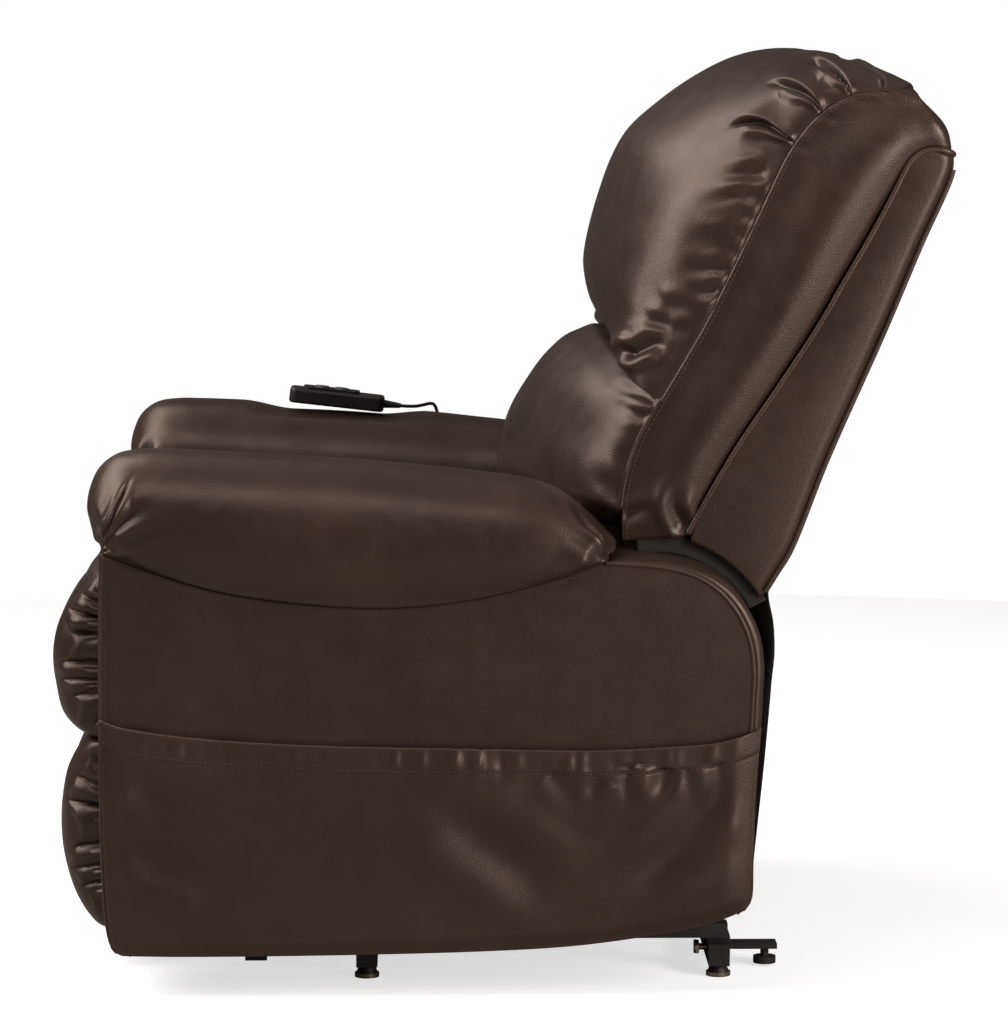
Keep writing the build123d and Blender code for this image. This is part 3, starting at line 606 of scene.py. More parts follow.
def plastic(name, colour, roughness, texture=900.0):
    """Moulded plastic with a spark-eroded texture."""
    shade = Shader(name, colour, roughness)
    mottle = shade.noise(40.0, 4.0)
    shade.colour(shade.ramp(mottle, (0.3, [c * 0.82 for c in colour]), (0.7, [c * 1.12 for c in colour])))
    shade.roughness(shade.ramp(mottle, (0.3, roughness - 0.05), (0.7, roughness + 0.07)))
    shade.bump(shade.cells(texture, "SMOOTH_F1"), 0.2, 0.0003)
    return shade.material


def rubber(name, colour):
    shade = Shader(name, colour, 0.72)
    shade.colour(shade.ramp(shade.noise(90.0, 5.0), (0.3, colour), (0.8, [c * 1.7 for c in colour])))
    shade.bump(shade.noise(500.0, 3.0), 0.3, 0.0005)
    return shade.material


def plywood(name):
    """Birch plywood: long grain on the faces, thin plies seen at the edges."""
    shade = Shader(name, (0.45, 0.30, 0.16), 0.62)
    grain = shade.noise(26.0, 6.0, (1, 9, 1.2))
    face = shade.ramp(grain, (0.25, (0.36, 0.22, 0.11)), (0.55, (0.50, 0.34, 0.19)),
                      (0.8, (0.58, 0.42, 0.25)))
    plies = shade.ramp(shade.waves(330.0, "DIAGONAL"), (0.35, 0.72), (0.65, 1.0))
    shade.colour(shade.mixed(0.35, face, shade.mixed(1.0, face, plies, "MULTIPLY")))
    shade.bump(grain, 0.2, 0.0006)
    return shade.material


def woven(name, colour, pitch=0.0011):
    """Thin woven dust cloth."""
    shade = Shader(name, colour, 0.85, Sheen_Weight=0.25, Sheen_Roughness=0.5)
    turns = 2 * pi / pitch / 20
    warp, weft = shade.waves(turns, "Z"), shade.waves(turns, "X")
    weave = shade.maths("MULTIPLY", warp, weft)
    shade.colour(shade.ramp(weave, (0.1, [c * 0.5 for c in colour]), (0.8, [c * 1.5 for c in colour])))
    shade.bump(weave, 0.5, 0.0005)
    return shade.material


BROWN_DEEP, BROWN = (0.0240, 0.0150, 0.0117), (0.0380, 0.0244, 0.0192)
HIDE = leather("faux_leather", BROWN_DEEP, BROWN, 0.36)
SKIN = leather("faux_leather_panels", BROWN_DEEP, BROWN, 0.40)
THREAD = thread("brown_thread", (0.092, 0.060, 0.045))
FINISHES = {
    "frame_black": powder_coat("black_powder_coat", (0.012, 0.012, 0.013)),
    "steel": metal("zinc_plated_steel", (0.50, 0.50, 0.50), 0.34),
    "nickel": metal("nickel_plate", (0.66, 0.60, 0.52), 0.22),
    "black_plastic": plastic("black_moulded_plastic", (0.014, 0.014, 0.015), 0.46),
    "handset_plastic": plastic("handset_plastic", (0.011, 0.011, 0.012), 0.40, 1200.0),
    "button_grey": plastic("button_plastic", (0.14, 0.14, 0.15), 0.45, 1500.0),
    "usb_blue": plastic("socket_blue_plastic", (0.010, 0.045, 0.24), 0.35, 1500.0),
    "rubber": rubber("foot_rubber", (0.016, 0.015, 0.015)),
    "plywood": plywood("birch_plywood"),
    "spring_steel": metal("spring_steel_wire", (0.30, 0.29, 0.28), 0.38),
    "motor_black": powder_coat("motor_casing_paint", (0.015, 0.015, 0.016), 0.5),
    "rod_steel": metal("ground_steel_rod", (0.62, 0.62, 0.63), 0.16, (30, 1, 1)),
    "dust_fabric": woven("dust_cloth", (0.014, 0.013, 0.013)),
    "cord_black": rubber("cord_sheath", (0.014, 0.014, 0.014)),
}


def finish_cad_nodes():
    """Gives every CAD node that stays in view the material of its record slot."""
    for part in frame["record"]["subparts"]:
        node = frame["nodes"][part["node"]]
        node.data.materials.clear()
        node.data.materials.append(FINISHES.get(part["material_slot"], SKIN))


# ---------------------------------------------------------------- finishing a piece
def upholstery(piece, body, *nodes, slot="upholstery", fill=None):
    """Rides the piece on its body and lets it stand for the CAD nodes. fill is not used."""
    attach(piece, body)
    if nodes:
        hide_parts(*nodes)
    return piece


def mirrored(points):
    return np.asarray(points) * (-1, 1, 1)


# ---------------------------------------------------------------- camera, light and floor
CAMERA_LENS = 148.4                 # mm, on a 36 mm sensor
CAMERA_AT = (5.2, -0.076, 1.0987)
CAMERA_YAW, CAMERA_DOWN = radians(1.004), radians(6.383)
WARM = (1.0, 0.87, 0.79)
LIGHTS = [                          # name, place, target, size, watts
    ("top_softbox", (0.0, 0.1, 3.2), (0, 0, 0.5), (4.2, 3.6), 9),
    ("side_strip", (1.7, -0.6, 2.6), (0.40, -0.20, 0.55), (1.5, 0.5), 9),
    ("high_front_softbox", (-1.0, -1.7, 3.0), (0, 0.1, 0.8), (2.2, 1.8), 36),
    ("front_softbox", (0.8, -2.6, 2.5), (0, 0, 0.75), (2.2, 2.4), 82),
    ("rear_softbox", (2.6, 2.6, 1.7), (0, 0.2, 0.6), (1.2, 2.0), 76),
    ("low_side_softbox", (2.5, 1.9, 0.45), (0.34, 0.42, 0.78), (1.4, 0.8), 14),
]
BACKDROP = ((1, 1, 1), 1.0)         # what the camera sees behind the chair: colour and strength
SURROUNDINGS = ((1.0, 0.88, 0.80), 0.09)
FLOOR_PALE, FLOOR_PALER, FLOOR_DIM = (0.80, 0.88, 0.96), (0.82, 0.90, 0.98), (0.36, 0.34, 0.32)
FLOOR_GLOW = 0.66
FLOOR_RADIUS, FLOOR_SIDES = 3.2, 96


def make_camera():
    camera = bpy.data.cameras.new("camera")
    camera.lens = CAMERA_LENS
    camera.sensor_width = 36.0
    holder = bpy.data.objects.new("camera", camera)
    holder.location = CAMERA_AT
    holder.rotation_euler = (pi / 2 - CAMERA_DOWN, 0, pi / 2 - CAMERA_YAW)
    bpy.context.scene.collection.objects.link(holder)
    bpy.context.scene.camera = holder


def make_light(name, place, target, size, watts):
    lamp = bpy.data.lights.new(name, "AREA")
    lamp.shape = "RECTANGLE"
    lamp.size, lamp.size_y = size
    lamp.energy = watts
    lamp.color = WARM
    holder = bpy.data.objects.new(name, lamp)
    holder.location = place
    direction = Vector(target) - Vector(place)
    holder.rotation_euler = direction.to_track_quat("-Z", "Y").to_euler()
    bpy.context.scene.collection.objects.link(holder)


def mix_by_camera(nodes, links, other, seen, output):
    """Sends one shader to what the camera sees directly, and another to light and reflections."""
    ray, mix = nodes.new("ShaderNodeLightPath"), nodes.new("ShaderNodeMixShader")
    links.new(ray.outputs["Is Camera Ray"], mix.inputs["Fac"])
    links.new(other, mix.inputs[1])
    links.new(seen, mix.inputs[2])
    links.new(mix.outputs["Shader"], nodes[output].inputs["Surface"])


def make_studio():
    world = bpy.data.worlds.new("studio")
    bpy.context.scene.world = world
    world.use_nodes = True
    nodes = world.node_tree.nodes
    seen, around = nodes["Background"], nodes.new("ShaderNodeBackground")
    for backdrop, (colour, strength) in ((seen, BACKDROP), (around, SURROUNDINGS)):
        backdrop.inputs["Color"].default_value = (*colour, 1)
        backdrop.inputs["Strength"].default_value = strength
    mix_by_camera(nodes, world.node_tree.links, around.outputs["Background"], seen.outputs["Background"],
                  "World Output")
    bpy.context.scene.view_settings.view_transform = "Standard"
    for light in LIGHTS:
        make_light(*light)

    shade = Shader("pale_floor", FLOOR_PALE, 0.8, Specular_IOR_Level=0.2,
                   Emission_Strength=FLOOR_GLOW, Emission_Color=(1, 1, 1, 1))
    shade.colour(shade.ramp(shade.noise(1.5, 3.0), (0.3, FLOOR_PALE), (0.7, FLOOR_PALER)))
    dim = shade.node("ShaderNodeBsdfDiffuse", Color=(*FLOOR_DIM, 1))
    mix_by_camera(shade.nodes, shade.links, dim.outputs["BSDF"], shade.surface.outputs["BSDF"],
                  "Material Output")
    turn = np.linspace(0, 2 * pi, FLOOR_SIDES, endpoint=False)
    ring = np.column_stack([np.cos(turn), np.sin(turn), np.zeros(FLOOR_SIDES)]) * FLOOR_RADIUS
    mesh_object("floor", ring, [range(FLOOR_SIDES)], shade.material)


# ---------------------------------------------------------------- handset cord
CORD_DIAMETER = 0.0045
CORD_ROUTE = [
    (-0.358, -0.11504, 0.61843), (-0.360, -0.100, 0.6168), (-0.371, -0.086, 0.618), (-0.392, -0.076, 0.619),
    (-0.417, -0.070, 0.615), (-0.4415, -0.066, 0.601), (-0.4585, -0.061, 0.570), (-0.4645, -0.054, 0.526),
    (-0.465, -0.042, 0.472), (-0.461, -0.022, 0.412), (-0.453, 0.008, 0.353), (-0.4475, 0.048, 0.295),
    (-0.446, 0.094, 0.238), (-0.448, 0.137, 0.184), (-0.448, 0.176, 0.134), (-0.438, 0.200, 0.094),
    (-0.413, 0.211, 0.070), (-0.372, 0.215, 0.066), (-0.325, 0.214, 0.072), (-0.282, 0.208, 0.080),
    (-0.252, 0.192, 0.094), (-0.230, 0.163, 0.116), (-0.212, 0.128, 0.145), (-0.204, 0.097, 0.169),
    (-0.200, 0.072, 0.191), (-0.200, 0.060, 0.220), (-0.200, 0.060, 0.246),
]


def make_cord():
    """The handset's cord: over the right arm, down its outer side, under the seat to the control box."""
    line = bpy.data.curves.new("handset_cord_line", "CURVE")
    line.dimensions = "3D"
    spline = line.splines.new("NURBS")
    spline.points.add(len(CORD_ROUTE) - 1)
    for point, place in zip(spline.points, CORD_ROUTE):
        point.co = (*place, 1)
    spline.order_u = 3
    spline.use_endpoint_u = True
    spline.resolution_u = 12
    line.bevel_depth = CORD_DIAMETER / 2
    line.bevel_resolution = 4
    line.use_fill_caps = True
    line.materials.append(FINISHES["cord_black"])
    cord = bpy.data.objects.new("handset_lead", line)
    bpy.context.scene.collection.objects.link(cord)
    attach(cord, "chair")
    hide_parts("handset_cord")


# ---------------------------------------------------------------- arms
TOWARD_FRONT = 1.4                  # how much closer together a cover's columns are at its front


def rounded_loop(length, width, radius, counts):
    """Places along and across a rounded rectangle, as (along, across) pairs that start on its front."""
    long_side, short_side, corner = counts
    quarter = np.linspace(0, pi / 2, corner + 1)[1:-1]
    edge = radius + (length - 2 * radius) * np.linspace(0, 1, long_side) ** TOWARD_FRONT
    front = np.linspace(radius - width / 2, width / 2 - radius, short_side)
    points = [(0, a) for a in front]
    points += [(radius - radius * cos(q), width / 2 - radius + radius * sin(q)) for q in quarter]
    points += [(a, width / 2) for a in edge]
    points += [(length - radius + radius * sin(q), width / 2 - radius + radius * cos(q)) for q in quarter]
    points += [(length, -a) for a in front]
    points += [(length - radius + radius * cos(q), radius - width / 2 - radius * sin(q)) for q in quarter]
    points += [(a, -width / 2) for a in edge[::-1]]
    points += [(radius - radius * sin(q), -width / 2 + radius - radius * cos(q)) for q in quarter]
    return np.array(points)


def patch_at(patch, along, up):
    """Points of a patch at shares along its columns and up its rows."""
    rows, columns = patch.shape[:2]
    r, c = np.clip(up, 0, 1) * (rows - 1), np.clip(along, 0, 1) * (columns - 1)
    i, j = np.minimum(r.astype(int), rows - 2), np.minimum(c.astype(int), columns - 2)
    fr, fc = (r - i)[..., None], (c - j)[..., None]
    return ((1 - fr) * ((1 - fc) * patch[i, j] + fc * patch[i, j + 1])
            + fr * ((1 - fc) * patch[i + 1, j] + fc * patch[i + 1, j + 1]))


def cover_patch():
    rows, columns = 80, 140
    return coons(smooth_curve(COVER_BOTTOM, columns), smooth_curve(ARM_SEAM, columns),
                 smooth_curve(COVER_FRONT, rows), smooth_curve(COVER_REAR, rows))


PATCH = cover_patch()
COVER_LENGTH = 0.745
COVER_LEVELS = 70
EDGE_RADIUS = 0.010
PANEL_RISE = 0.0012                 # how far a quilted panel stands proud between its edges
FRONT_SEAM = 0.0055                 # from the panel's front edge to its seam
COVER_WELTS = [                     # name, share along the cover, share up it, inset, points, radius
    ("front_welt", 0.0030, (0.02, 0.995), 0.0058, 240, 0.0027),
    ("rear_welt", 0.9835, (0.0, 0.99), 0.0022, 160, 0.0026),
]


def make_side_cover(side):
    """The padded skin over an arm: outer and inner panels joined round the front and rear, open below."""
    width = ARM_OUT - ARM_IN - 0.002
    loop = rounded_loop(COVER_LENGTH, width, EDGE_RADIUS, (170, 12, 9))
    levels = np.linspace(0, 1, COVER_LEVELS)
    along = np.clip(loop[:, 0] / COVER_LENGTH, 0, 1)
    shape = (COVER_LEVELS, len(loop))
    place = patch_at(PATCH, np.broadcast_to(along, shape), np.broadcast_to(levels[:, None], shape))
    x = (ARM_IN + ARM_OUT) / 2 + np.broadcast_to(loop[:, 1], shape)
    grid = np.dstack([x, place])
    belly = smoothstep(along, 0.0, 0.10) * (1 - smoothstep(along, 0.88, 1.0))
    outward = np.sign(loop[:, 1]) * (np.abs(loop[:, 1]) > width / 2 - 1e-4)
    rise = np.sin(pi * np.clip(levels, 0, 1)) ** 0.6
    grid[:, :, 0] += PANEL_RISE * rise[:, None] * belly * outward - PANEL_RISE * outward
    if side < 0:
        grid = mirrored(grid)
    name = "left" if side > 0 else "right"
    cover = grid_object(f"{name}_side_panel", grid, SKIN, wrap_columns=True)

    def relief(points):
        height = 0.0007 * noise_height(points, 9.0, 3) + 0.0004 * noise_height(points, 30.0, 4)
        front = np.interp(points[:, 2], *smooth_curve(COVER_FRONT, 60)[:, ::-1].T)
        gap = points[:, 1] - front
        outer = np.abs(points[:, 0]) > ARM_OUT - 0.004
        beyond = gap - FRONT_SEAM
        welt = -np.exp(-(beyond / 0.0016) ** 2) + 0.5 * np.exp(-((beyond - 0.010) / 0.006) ** 2)
        return height + outer * 0.0012 * welt

    raise_points(cover, relief)
    thicken(cover, 0.002, -1.0)
    upholstery(cover, "chair", f"{name}_side_cover", slot="upholstery_skin")

    for welt, share, (start, end), inset, count, radius in COVER_WELTS:
        line = patch_at(PATCH, np.full(60, share), np.linspace(start, end, 60))
        line = evenly(in_side_plane(side * (ARM_OUT - inset), line), count)
        upholstery(tube(f"{name}_{welt}", line, radius, SKIN), "chair")


# folds across the front and rear of an arm pillow, as (x, y, z) on the left arm
PAD_FOLDS = [
    ([(.415, -.474, .556), (.40, -.471, .585), (.385, -.455, .612)], .008, .0035, .5, .3, .7),
    ([(.335, -.470, .540), (.330, -.474, .570), (.325, -.465, .600)], .009, .0035, .5, .3, .7),
    ([(.30, -.456, .520), (.284, -.452, .556), (.290, -.436, .590)], .0075, .0065, .6, .0, .5),
    ([(.30, .122, .509), (.285, .104, .538), (.292, .078, .572)], .008, .0055, .6, .0, .5),
]
# gathers and pleats on its outer side, spreading from its two lower corners, as (y, z)
PAD_GATHERS = [
    ([(-.4495, .523), (-.44, .54), (-.423, .556), (-.402, .57), (-.382, .58)], .007, .0042, .7, .0, .75),
    ([(-.4495, .5215), (-.432, .529), (-.409, .539), (-.374, .548)], .006, .003, .6, .0, .8),
    ([(-.453, .529), (-.459, .548), (-.459, .575), (-.452, .598)], .006, .0034, .6, .0, .6),
    ([(-.4515, .528), (-.4505, .548), (-.444, .576), (-.434, .599)], .005, .0026, .7, .0, .6),
    ([(.124, .511), (.10, .524), (.072, .537)], .007, .003, .6, .0, .75),
    ([(.128, .514), (.122, .54), (.104, .564)], .0055, .004, .7, .0, .6),
]
PAD_PLEATS = [
    ([(-.451, .524), (-.4465, .54), (-.4365, .5665), (-.425, .5945), (-.412, .612)], 1),
    ([(.127, .512), (.116, .533), (.10, .556), (.083, .579), (.064, .595)], -1),
]
PAD_ROLL = radians(36)              # how far the pillow curls under on either side
PAD_FULLNESS = 2.25                 # 2 is an ellipse, more is boxier
PAD_CAP, CUSHION_CAP = 0.022, 0.026  # the most that filling moves a skin


def make_arm_pad(side):
    """The pillow along the top of an arm, wrapped over its front and tucked in at the rear."""
    ribs, around, below = 300, 190, 16
    seam, crest = smooth_curve(ARM_SEAM, ribs), smooth_curve(ARM_CREST, ribs)
    share = np.linspace(0, 1, ribs)
    ends = smoothstep(share, 0.0, 0.10) * (1 - smoothstep(share, 0.93, 1.0))
    roll = PAD_ROLL * ends[:, None]
    reach = (ARM_OUT - PAD_CREST_X) / np.cos(roll)
    turn = -roll + (pi + 2 * roll) * np.linspace(0, 1, around)[None, :]
    bulge = 2 / PAD_FULLNESS
    x = PAD_CREST_X + reach * power(np.cos(turn), bulge)
    low = power(np.sin(roll), bulge)
    rise = (power(np.sin(turn), bulge) + low) / (1 + low)
    place = seam[:, None] * (1 - rise[..., None]) + crest[:, None] * rise[..., None]
    top = swollen(np.dstack([x, place]), True, (72, 46), PAD_CAP, 0.010)
    under = np.linspace(0, 1, below + 2)[1:-1]
    floor = top[:, -1:, :] * (1 - under[None, :, None]) + top[:, :1, :] * under[None, :, None]
    grid = np.concatenate([top, floor], axis=1)
    if side < 0:
        grid = mirrored(grid)
    name = "left" if side > 0 else "right"
    pad = grid_object(f"{name}_arm_pillow", grid, HIDE, wrap_columns=True)
    creases = [fold(np.array(path) * (side, 1, 1), *shape) for path, *shape in PAD_FOLDS]
    gathers = [fold(*row) for row in PAD_GATHERS]

    def relief(points):
        height = 0.0026 * noise_height(points, 13.0, 11 + side)
        height = height + 0.0008 * noise_height(points, 42.0, 12 + side)
        seam_z = np.interp(points[:, 1], seam[:, 0], seam[:, 1])
        height = height * smoothstep(points[:, 2], seam_z, seam_z + 0.04) + fold_height(points, creases)
        outline = points[:, 1:]
        outside = smoothstep(np.abs(points[:, 0]), 0.385, 0.425)
        outside = outside * smoothstep(points[:, 2], seam_z, seam_z + 0.006)
        height += outside * fold_height(outline, gathers)
        for path, over in PAD_PLEATS:
            height += outside * pleat_height(outline, path, 0.0034, 0.0068, 0.0105, over)
        if side < 0:
            height -= handset_dent(points)
        return height

    raise_points(pad, relief)
    upholstery(pad, "chair", f"{name}_arm_pad", fill=0.75)


def handset_dent(points):
    """How far the right arm pillow gives under the handset."""
    low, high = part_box("handset_body")
    centre = (low + high) / 2
    across = np.abs(points[:, 0] - centre.x) / ((high.x - low.x) / 2 + 0.006)
    along = np.abs(points[:, 1] - centre.y) / ((high.y - low.y) / 2 + 0.008)
    inside = (1 - smoothstep(across, 0.75, 1.8)) * (1 - smoothstep(along, 0.80, 1.75))
    return 0.008 * inside * (points[:, 2] > low.z - 0.03)


# ---------------------------------------------------------------- pocket
POUCH_FRONT = [(-.4395, .0575), (-.4445, .072), (-.4480, .098), (-.4515, .160), (-.4530, .230)]
POUCH_REAR = [(.2925, .155), (.2955, .226), (.300, .285)]
POUCH_FULL = 0.005                  # how far the pouch's folded middle stands off its sewn edge
# the short tucks under the hem at the rear, then the broad folds that sag from the front and rear corners
POUCH_FOLDS = [
    ([(.168, .276), (.166, .250), (.171, .222)], .009, -.0056, .5, .1, .6),
    ([(.196, .272), (.193, .250), (.190, .230)], .008, .0040, .5, .1, .6),
    ([(.232, .276), (.236, .250), (.230, .215)], .010, -.0040, .5, .1, .6),
    ([(.060, .268), (.075, .250), (.100, .236)], .010, .0020, .5, .1, .7),
    ([(.118, .262), (.110, .246), (.118, .228)], .008, .0022, .5, .1, .7),
    ([(-.440, .285), (-.400, .250), (-.330, .205), (-.240, .175)], .022, .0066, .6, .3, .6),
    ([(-.448, .215), (-.400, .180), (-.320, .140), (-.230, .110)], .024, .0064, .6, .3, .6),
    ([(-.100, .245), (-.020, .190), (.060, .130), (.100, .100)], .024, .0060, .6, .4, .4),
    ([(.265, .270), (.235, .215), (.190, .160), (.120, .118)], .020, .0062, .6, .3, .5),
    ([(.280, .200), (.240, .165), (.200, .140)], .018, .0026, .6, .3, .5),
]


def hem_puckers(along):
    """The unevenness of the hem's elastic along its length, strongest toward the rear."""
    rng = np.random.default_rng(5)
    puckers = np.zeros(along.shape)
    for at in np.linspace(-.41, .27, 26) + rng.uniform(-.010, .010, 26):
        strength = 0.4 + 1.2 * np.exp(-((at - .06) / .13) ** 2)
        size = rng.uniform(.004, .0085)
        puckers += strength * rng.uniform(-1, 1) * np.exp(-((along - at) / size) ** 2)
    return puckers


def make_pocket():
    """The pouch on the left side panel, sewn at front, rear and bottom, its hem sagging open a little."""
    rows, columns = 110, 270
    hem = smooth_curve(POCKET_HEM, columns)
    bottom = smooth_curve([(y, z + 0.0010) for y, z in COVER_BOTTOM], columns)
    bottom[:, 0] = np.clip(bottom[:, 0], -0.4305, 0.286)
    front = smooth_curve([tuple(bottom[0])] + POUCH_FRONT + [POCKET_HEM[0]], rows)
    rear = smooth_curve([tuple(bottom[-1])] + POUCH_REAR + [POCKET_HEM[-1]], rows)
    place = coons(bottom, hem, front, rear)
    u, v = np.linspace(0, 1, columns)[None, :], np.linspace(0, 1, rows)[:, None]
    below_hem = hem[None, :, 1] - place[:, :, 1]
    sewn = smoothstep(u, 0, 0.045) * (1 - smoothstep(u, 0.955, 1)) * smoothstep(v, 0, 0.10)
    puckers = hem_puckers(hem[None, :, 0])
    gather = np.exp(-((below_hem - HEM_DEPTH * 0.55) / .013) ** 2)
    x = POCKET_X + sewn * (0.0045 + 0.0022 * v + 0.0046 * puckers * gather)
    x = x + 0.0009 * (below_hem < HEM_DEPTH) - 0.0008 * np.exp(-((below_hem - HEM_DEPTH) / .0018) ** 2)
    pocket = grid_object("side_pouch", np.dstack([x, place]), SKIN)
    creases = [fold(in_side_plane(POCKET_X + POUCH_FULL, path), *shape) for path, *shape in POUCH_FOLDS]

    def relief(points):
        depth = smoothstep(points[:, 1], -.452, -.42) * (1 - smoothstep(points[:, 1], .262, .290))
        return depth * (0.0016 * noise_height(points, 11.0, 21) + fold_height(points, creases))

    raise_points(pocket, relief)
    turn_outward(pocket, (1, 0, 0))
    thicken(pocket, 0.0016, -1.0)
    upholstery(pocket, "chair", "side_pocket", slot="upholstery_skin")

    line = in_side_plane(POCKET_X + 0.0075, hem - (0, HEM_DEPTH))[8:-8]
    line = on_surface(pocket, line, (1, 0, 0))
    upholstery(stitches("pouch_hem_stitches", line, (1, 0, 0), THREAD), "chair")


def turn_outward(piece, direction):
    """Turns every face of an open sheet so that it mostly looks the given way."""
    mesh = piece.data
    total = sum((Vector(p.normal) * p.area for p in mesh.polygons), Vector())
    if total.dot(Vector(direction)) < 0:
        mesh.flip_normals()


def on_surface(piece, points, outward, reach=0.03):
    """The given points, moved along one direction onto the piece's surface."""
    tree = surface_tree(piece)
    outward = Vector(outward).normalized()
    found = []
    for point in points:
        start = Vector(point) + outward * reach
        hit = tree.ray_cast(start, -outward, 2 * reach)[0]
        found.append(hit if hit is not None else Vector(point))
    return np.array(found)


def surface_tree(piece):
    mesh = piece.data
    return BVHTree.FromPolygons([v.co for v in mesh.vertices], [p.vertices for p in mesh.polygons])


# ---------------------------------------------------------------- back
def pillow_grid(seam, crest, half_widths, around, fullness, slack, behind=14, forward=None):
    """Ribs from one side seam over the crest to the other, closed behind along a straight chord.

    forward pushes the middle of each rib's two sides toward the sitter.
    """
    share = np.linspace(0, 1, around)
    turn = (pi * (share - 0.09 * np.sin(2 * pi * share)))[None, :]
    bulge = 2 / fullness
    x = half_widths[:, None] * power(np.cos(turn), bulge)
    rise = np.sin(turn) ** bulge
    place = seam[:, None] * (1 - rise[..., None]) + crest[:, None] * rise[..., None]
    if forward is not None:
        place = place - forward[:, None, None] * np.sin(pi * rise)[..., None] * np.array([1.0, 0.15])
    place = np.broadcast_to(place, (len(seam), around, 2))
    face = swollen(np.dstack([x, place]), True, (56, 72), CUSHION_CAP, slack)
    back_share = np.linspace(0, 1, behind + 2)[None, 1:-1, None]
    chord = face[:, -1:] * (1 - back_share) + face[:, :1] * back_share
    return np.concatenate([face, chord], axis=1)


HEAD_FULLNESS = 2.2                 # 2 is an ellipse, more is boxier
LUMBAR_FULLNESS = 1.65
# the tucked pleats along the top of each side seam, from the seam upward, as (y, z)
TOP_PLEATS = [
    [(.3465, .9810), (.3300, .9936), (.3156, 1.0042), (.3011, 1.0091), (.2850, 1.0084), (.2617, .9971)],
    [(.3765, 1.0150), (.3694, 1.0293), (.3604, 1.0400), (.3476, 1.0486), (.3300, 1.0534), (.3130, 1.0507)],
    [(.4100, 1.0350), (.4062, 1.0480), (.3997, 1.0588), (.3925, 1.0686), (.3780, 1.0775), (.3582, 1.0758)],
    [(.4480, 1.0400), (.4502, 1.0526), (.4465, 1.0641), (.4374, 1.0739), (.4229, 1.0812), (.3980, 1.0835)],
    [(.4880, 1.0285), (.4945, 1.0400), (.4935, 1.0507), (.4861, 1.0597), (.4698, 1.0686), (.4450, 1.0760)],
]
SIDE_RIPPLES = [
    [(.318, .95), (.286, .944), (.256, .943)],
    [(.305, .9258), (.264, .9141), (.2287, .9129)],
    [(.299, .905), (.27, .896), (.238, .895)],
    [(.2936, .885), (.2525, .872), (.2171, .875)],
    [(.286, .864), (.256, .856), (.226, .857)],
    [(.278, .842), (.2408, .834), (.2078, .84)],
    [(.267, .814), (.241, .8117), (.2174, .82)],
]
# where the lobe over the lumbar pillow is pinched in, and the folds running out from the pinch
HEAD_PINCHES = [
    ([(.156, .737), (.17, .744), (.185, .7485), (.205, .7475)], .0072, .0105, .6, .0, .65),
    ([(.16, .756), (.174, .7585), (.187, .755), (.198, .75)], .006, .0028, .6, .0, .7),
    ([(.17, .77), (.19, .77), (.212, .764), (.227, .756)], .0085, .0038, .6, .3, .6),
    ([(.19, .786), (.208, .788), (.229, .782)], .01, .003, .6, .3, .6),
]
LUMBAR_FOLDS = [
    ([(.188, .68), (.17, .687), (.15, .691), (.132, .689)], .006, .0026, .6, .0, .6),
    ([(.18, .662), (.156, .669), (.133, .67)], .007, .0022, .6, .0, .7),
    ([(.15, .57), (.13, .59), (.11, .6)], .009, .002, .6, .0, .7),
]
GUSSET_FOLDS = [
    ([(.216, .54), (.206, .564), (.215, .594)], .008, .0045, .7, .0, .6),
    ([(.15, .548), (.168, .556), (.19, .556)], .007, .0028, .6, .0, .7),
]


def seam_gap(outline, seam):
    """Each point's distance from a seam in the side plane."""
    offset, _, _ = nearest_along(outline, seam)
    return np.linalg.norm(offset, axis=1)


def respaced(outline, pace):
    """An outline's points at the given shares of it."""
    share = np.linspace(0, 1, len(outline))
    return np.column_stack([np.interp(pace, share, outline[:, k]) for k in (0, 1)])


def make_head_pillow():
    ribs = 330
    pace = np.linspace(0, 1, ribs)
    pace = pace - 0.25 * pace * (1 - pace)
    seam, crest = (respaced(smooth_curve(outline, ribs), pace) for outline in (HEAD_SEAM, HEAD_CREST))
    lower_lobe = 0.022 * smoothstep(pace, 0.86, 1.0)
    widths = np.full(ribs, SEAM_X - UPHOLSTERY_GAP)
    grid = pillow_grid(seam, crest, widths, 300, HEAD_FULLNESS, 0.018, forward=lower_lobe)
    pillow = grid_object("head_cushion", grid, HIDE, wrap_columns=True, cap_ends=True)
    creases = [fold(path, .008, .0034, .7, .25, .7) for path in SIDE_RIPPLES]
    pinches = [fold(*row) for row in HEAD_PINCHES]

    def relief(points):
        outline = points[:, 1:]
        width = np.abs(points[:, 0])
        tucked = smoothstep(points[:, 2], .765, .83)
        soft = 0.0045 * noise_height(points, 9.0, 31) + 0.0012 * noise_height(points, 27.0, 32)
        edge = 1 - smoothstep(width, .27, .315)
        sink = 0.003 * np.exp(-((points[:, 0]) / .13) ** 2) * np.exp(-((points[:, 2] - .90) / .12) ** 2)
        height = soft * tucked * (0.3 + 0.7 * edge) - sink
        sewn = smoothstep(seam_gap(outline, seam), 0.0, 0.007) + smoothstep(width, .30, .27)
        flank = np.minimum(sewn, 1.0) * smoothstep(width, .05, .14)
        for number, path in enumerate(TOP_PLEATS):
            size = 1.0 if number < 3 else 0.6
            height += size * flank * pleat_height(outline, path, 0.0050, 0.0095, 0.0165, -1)
        return height + flank * (fold_height(outline, creases) + fold_height(outline, pinches))

    raise_points(pillow, relief)
    return upholstery(pillow, "back", "head_pillow", fill=0.8)


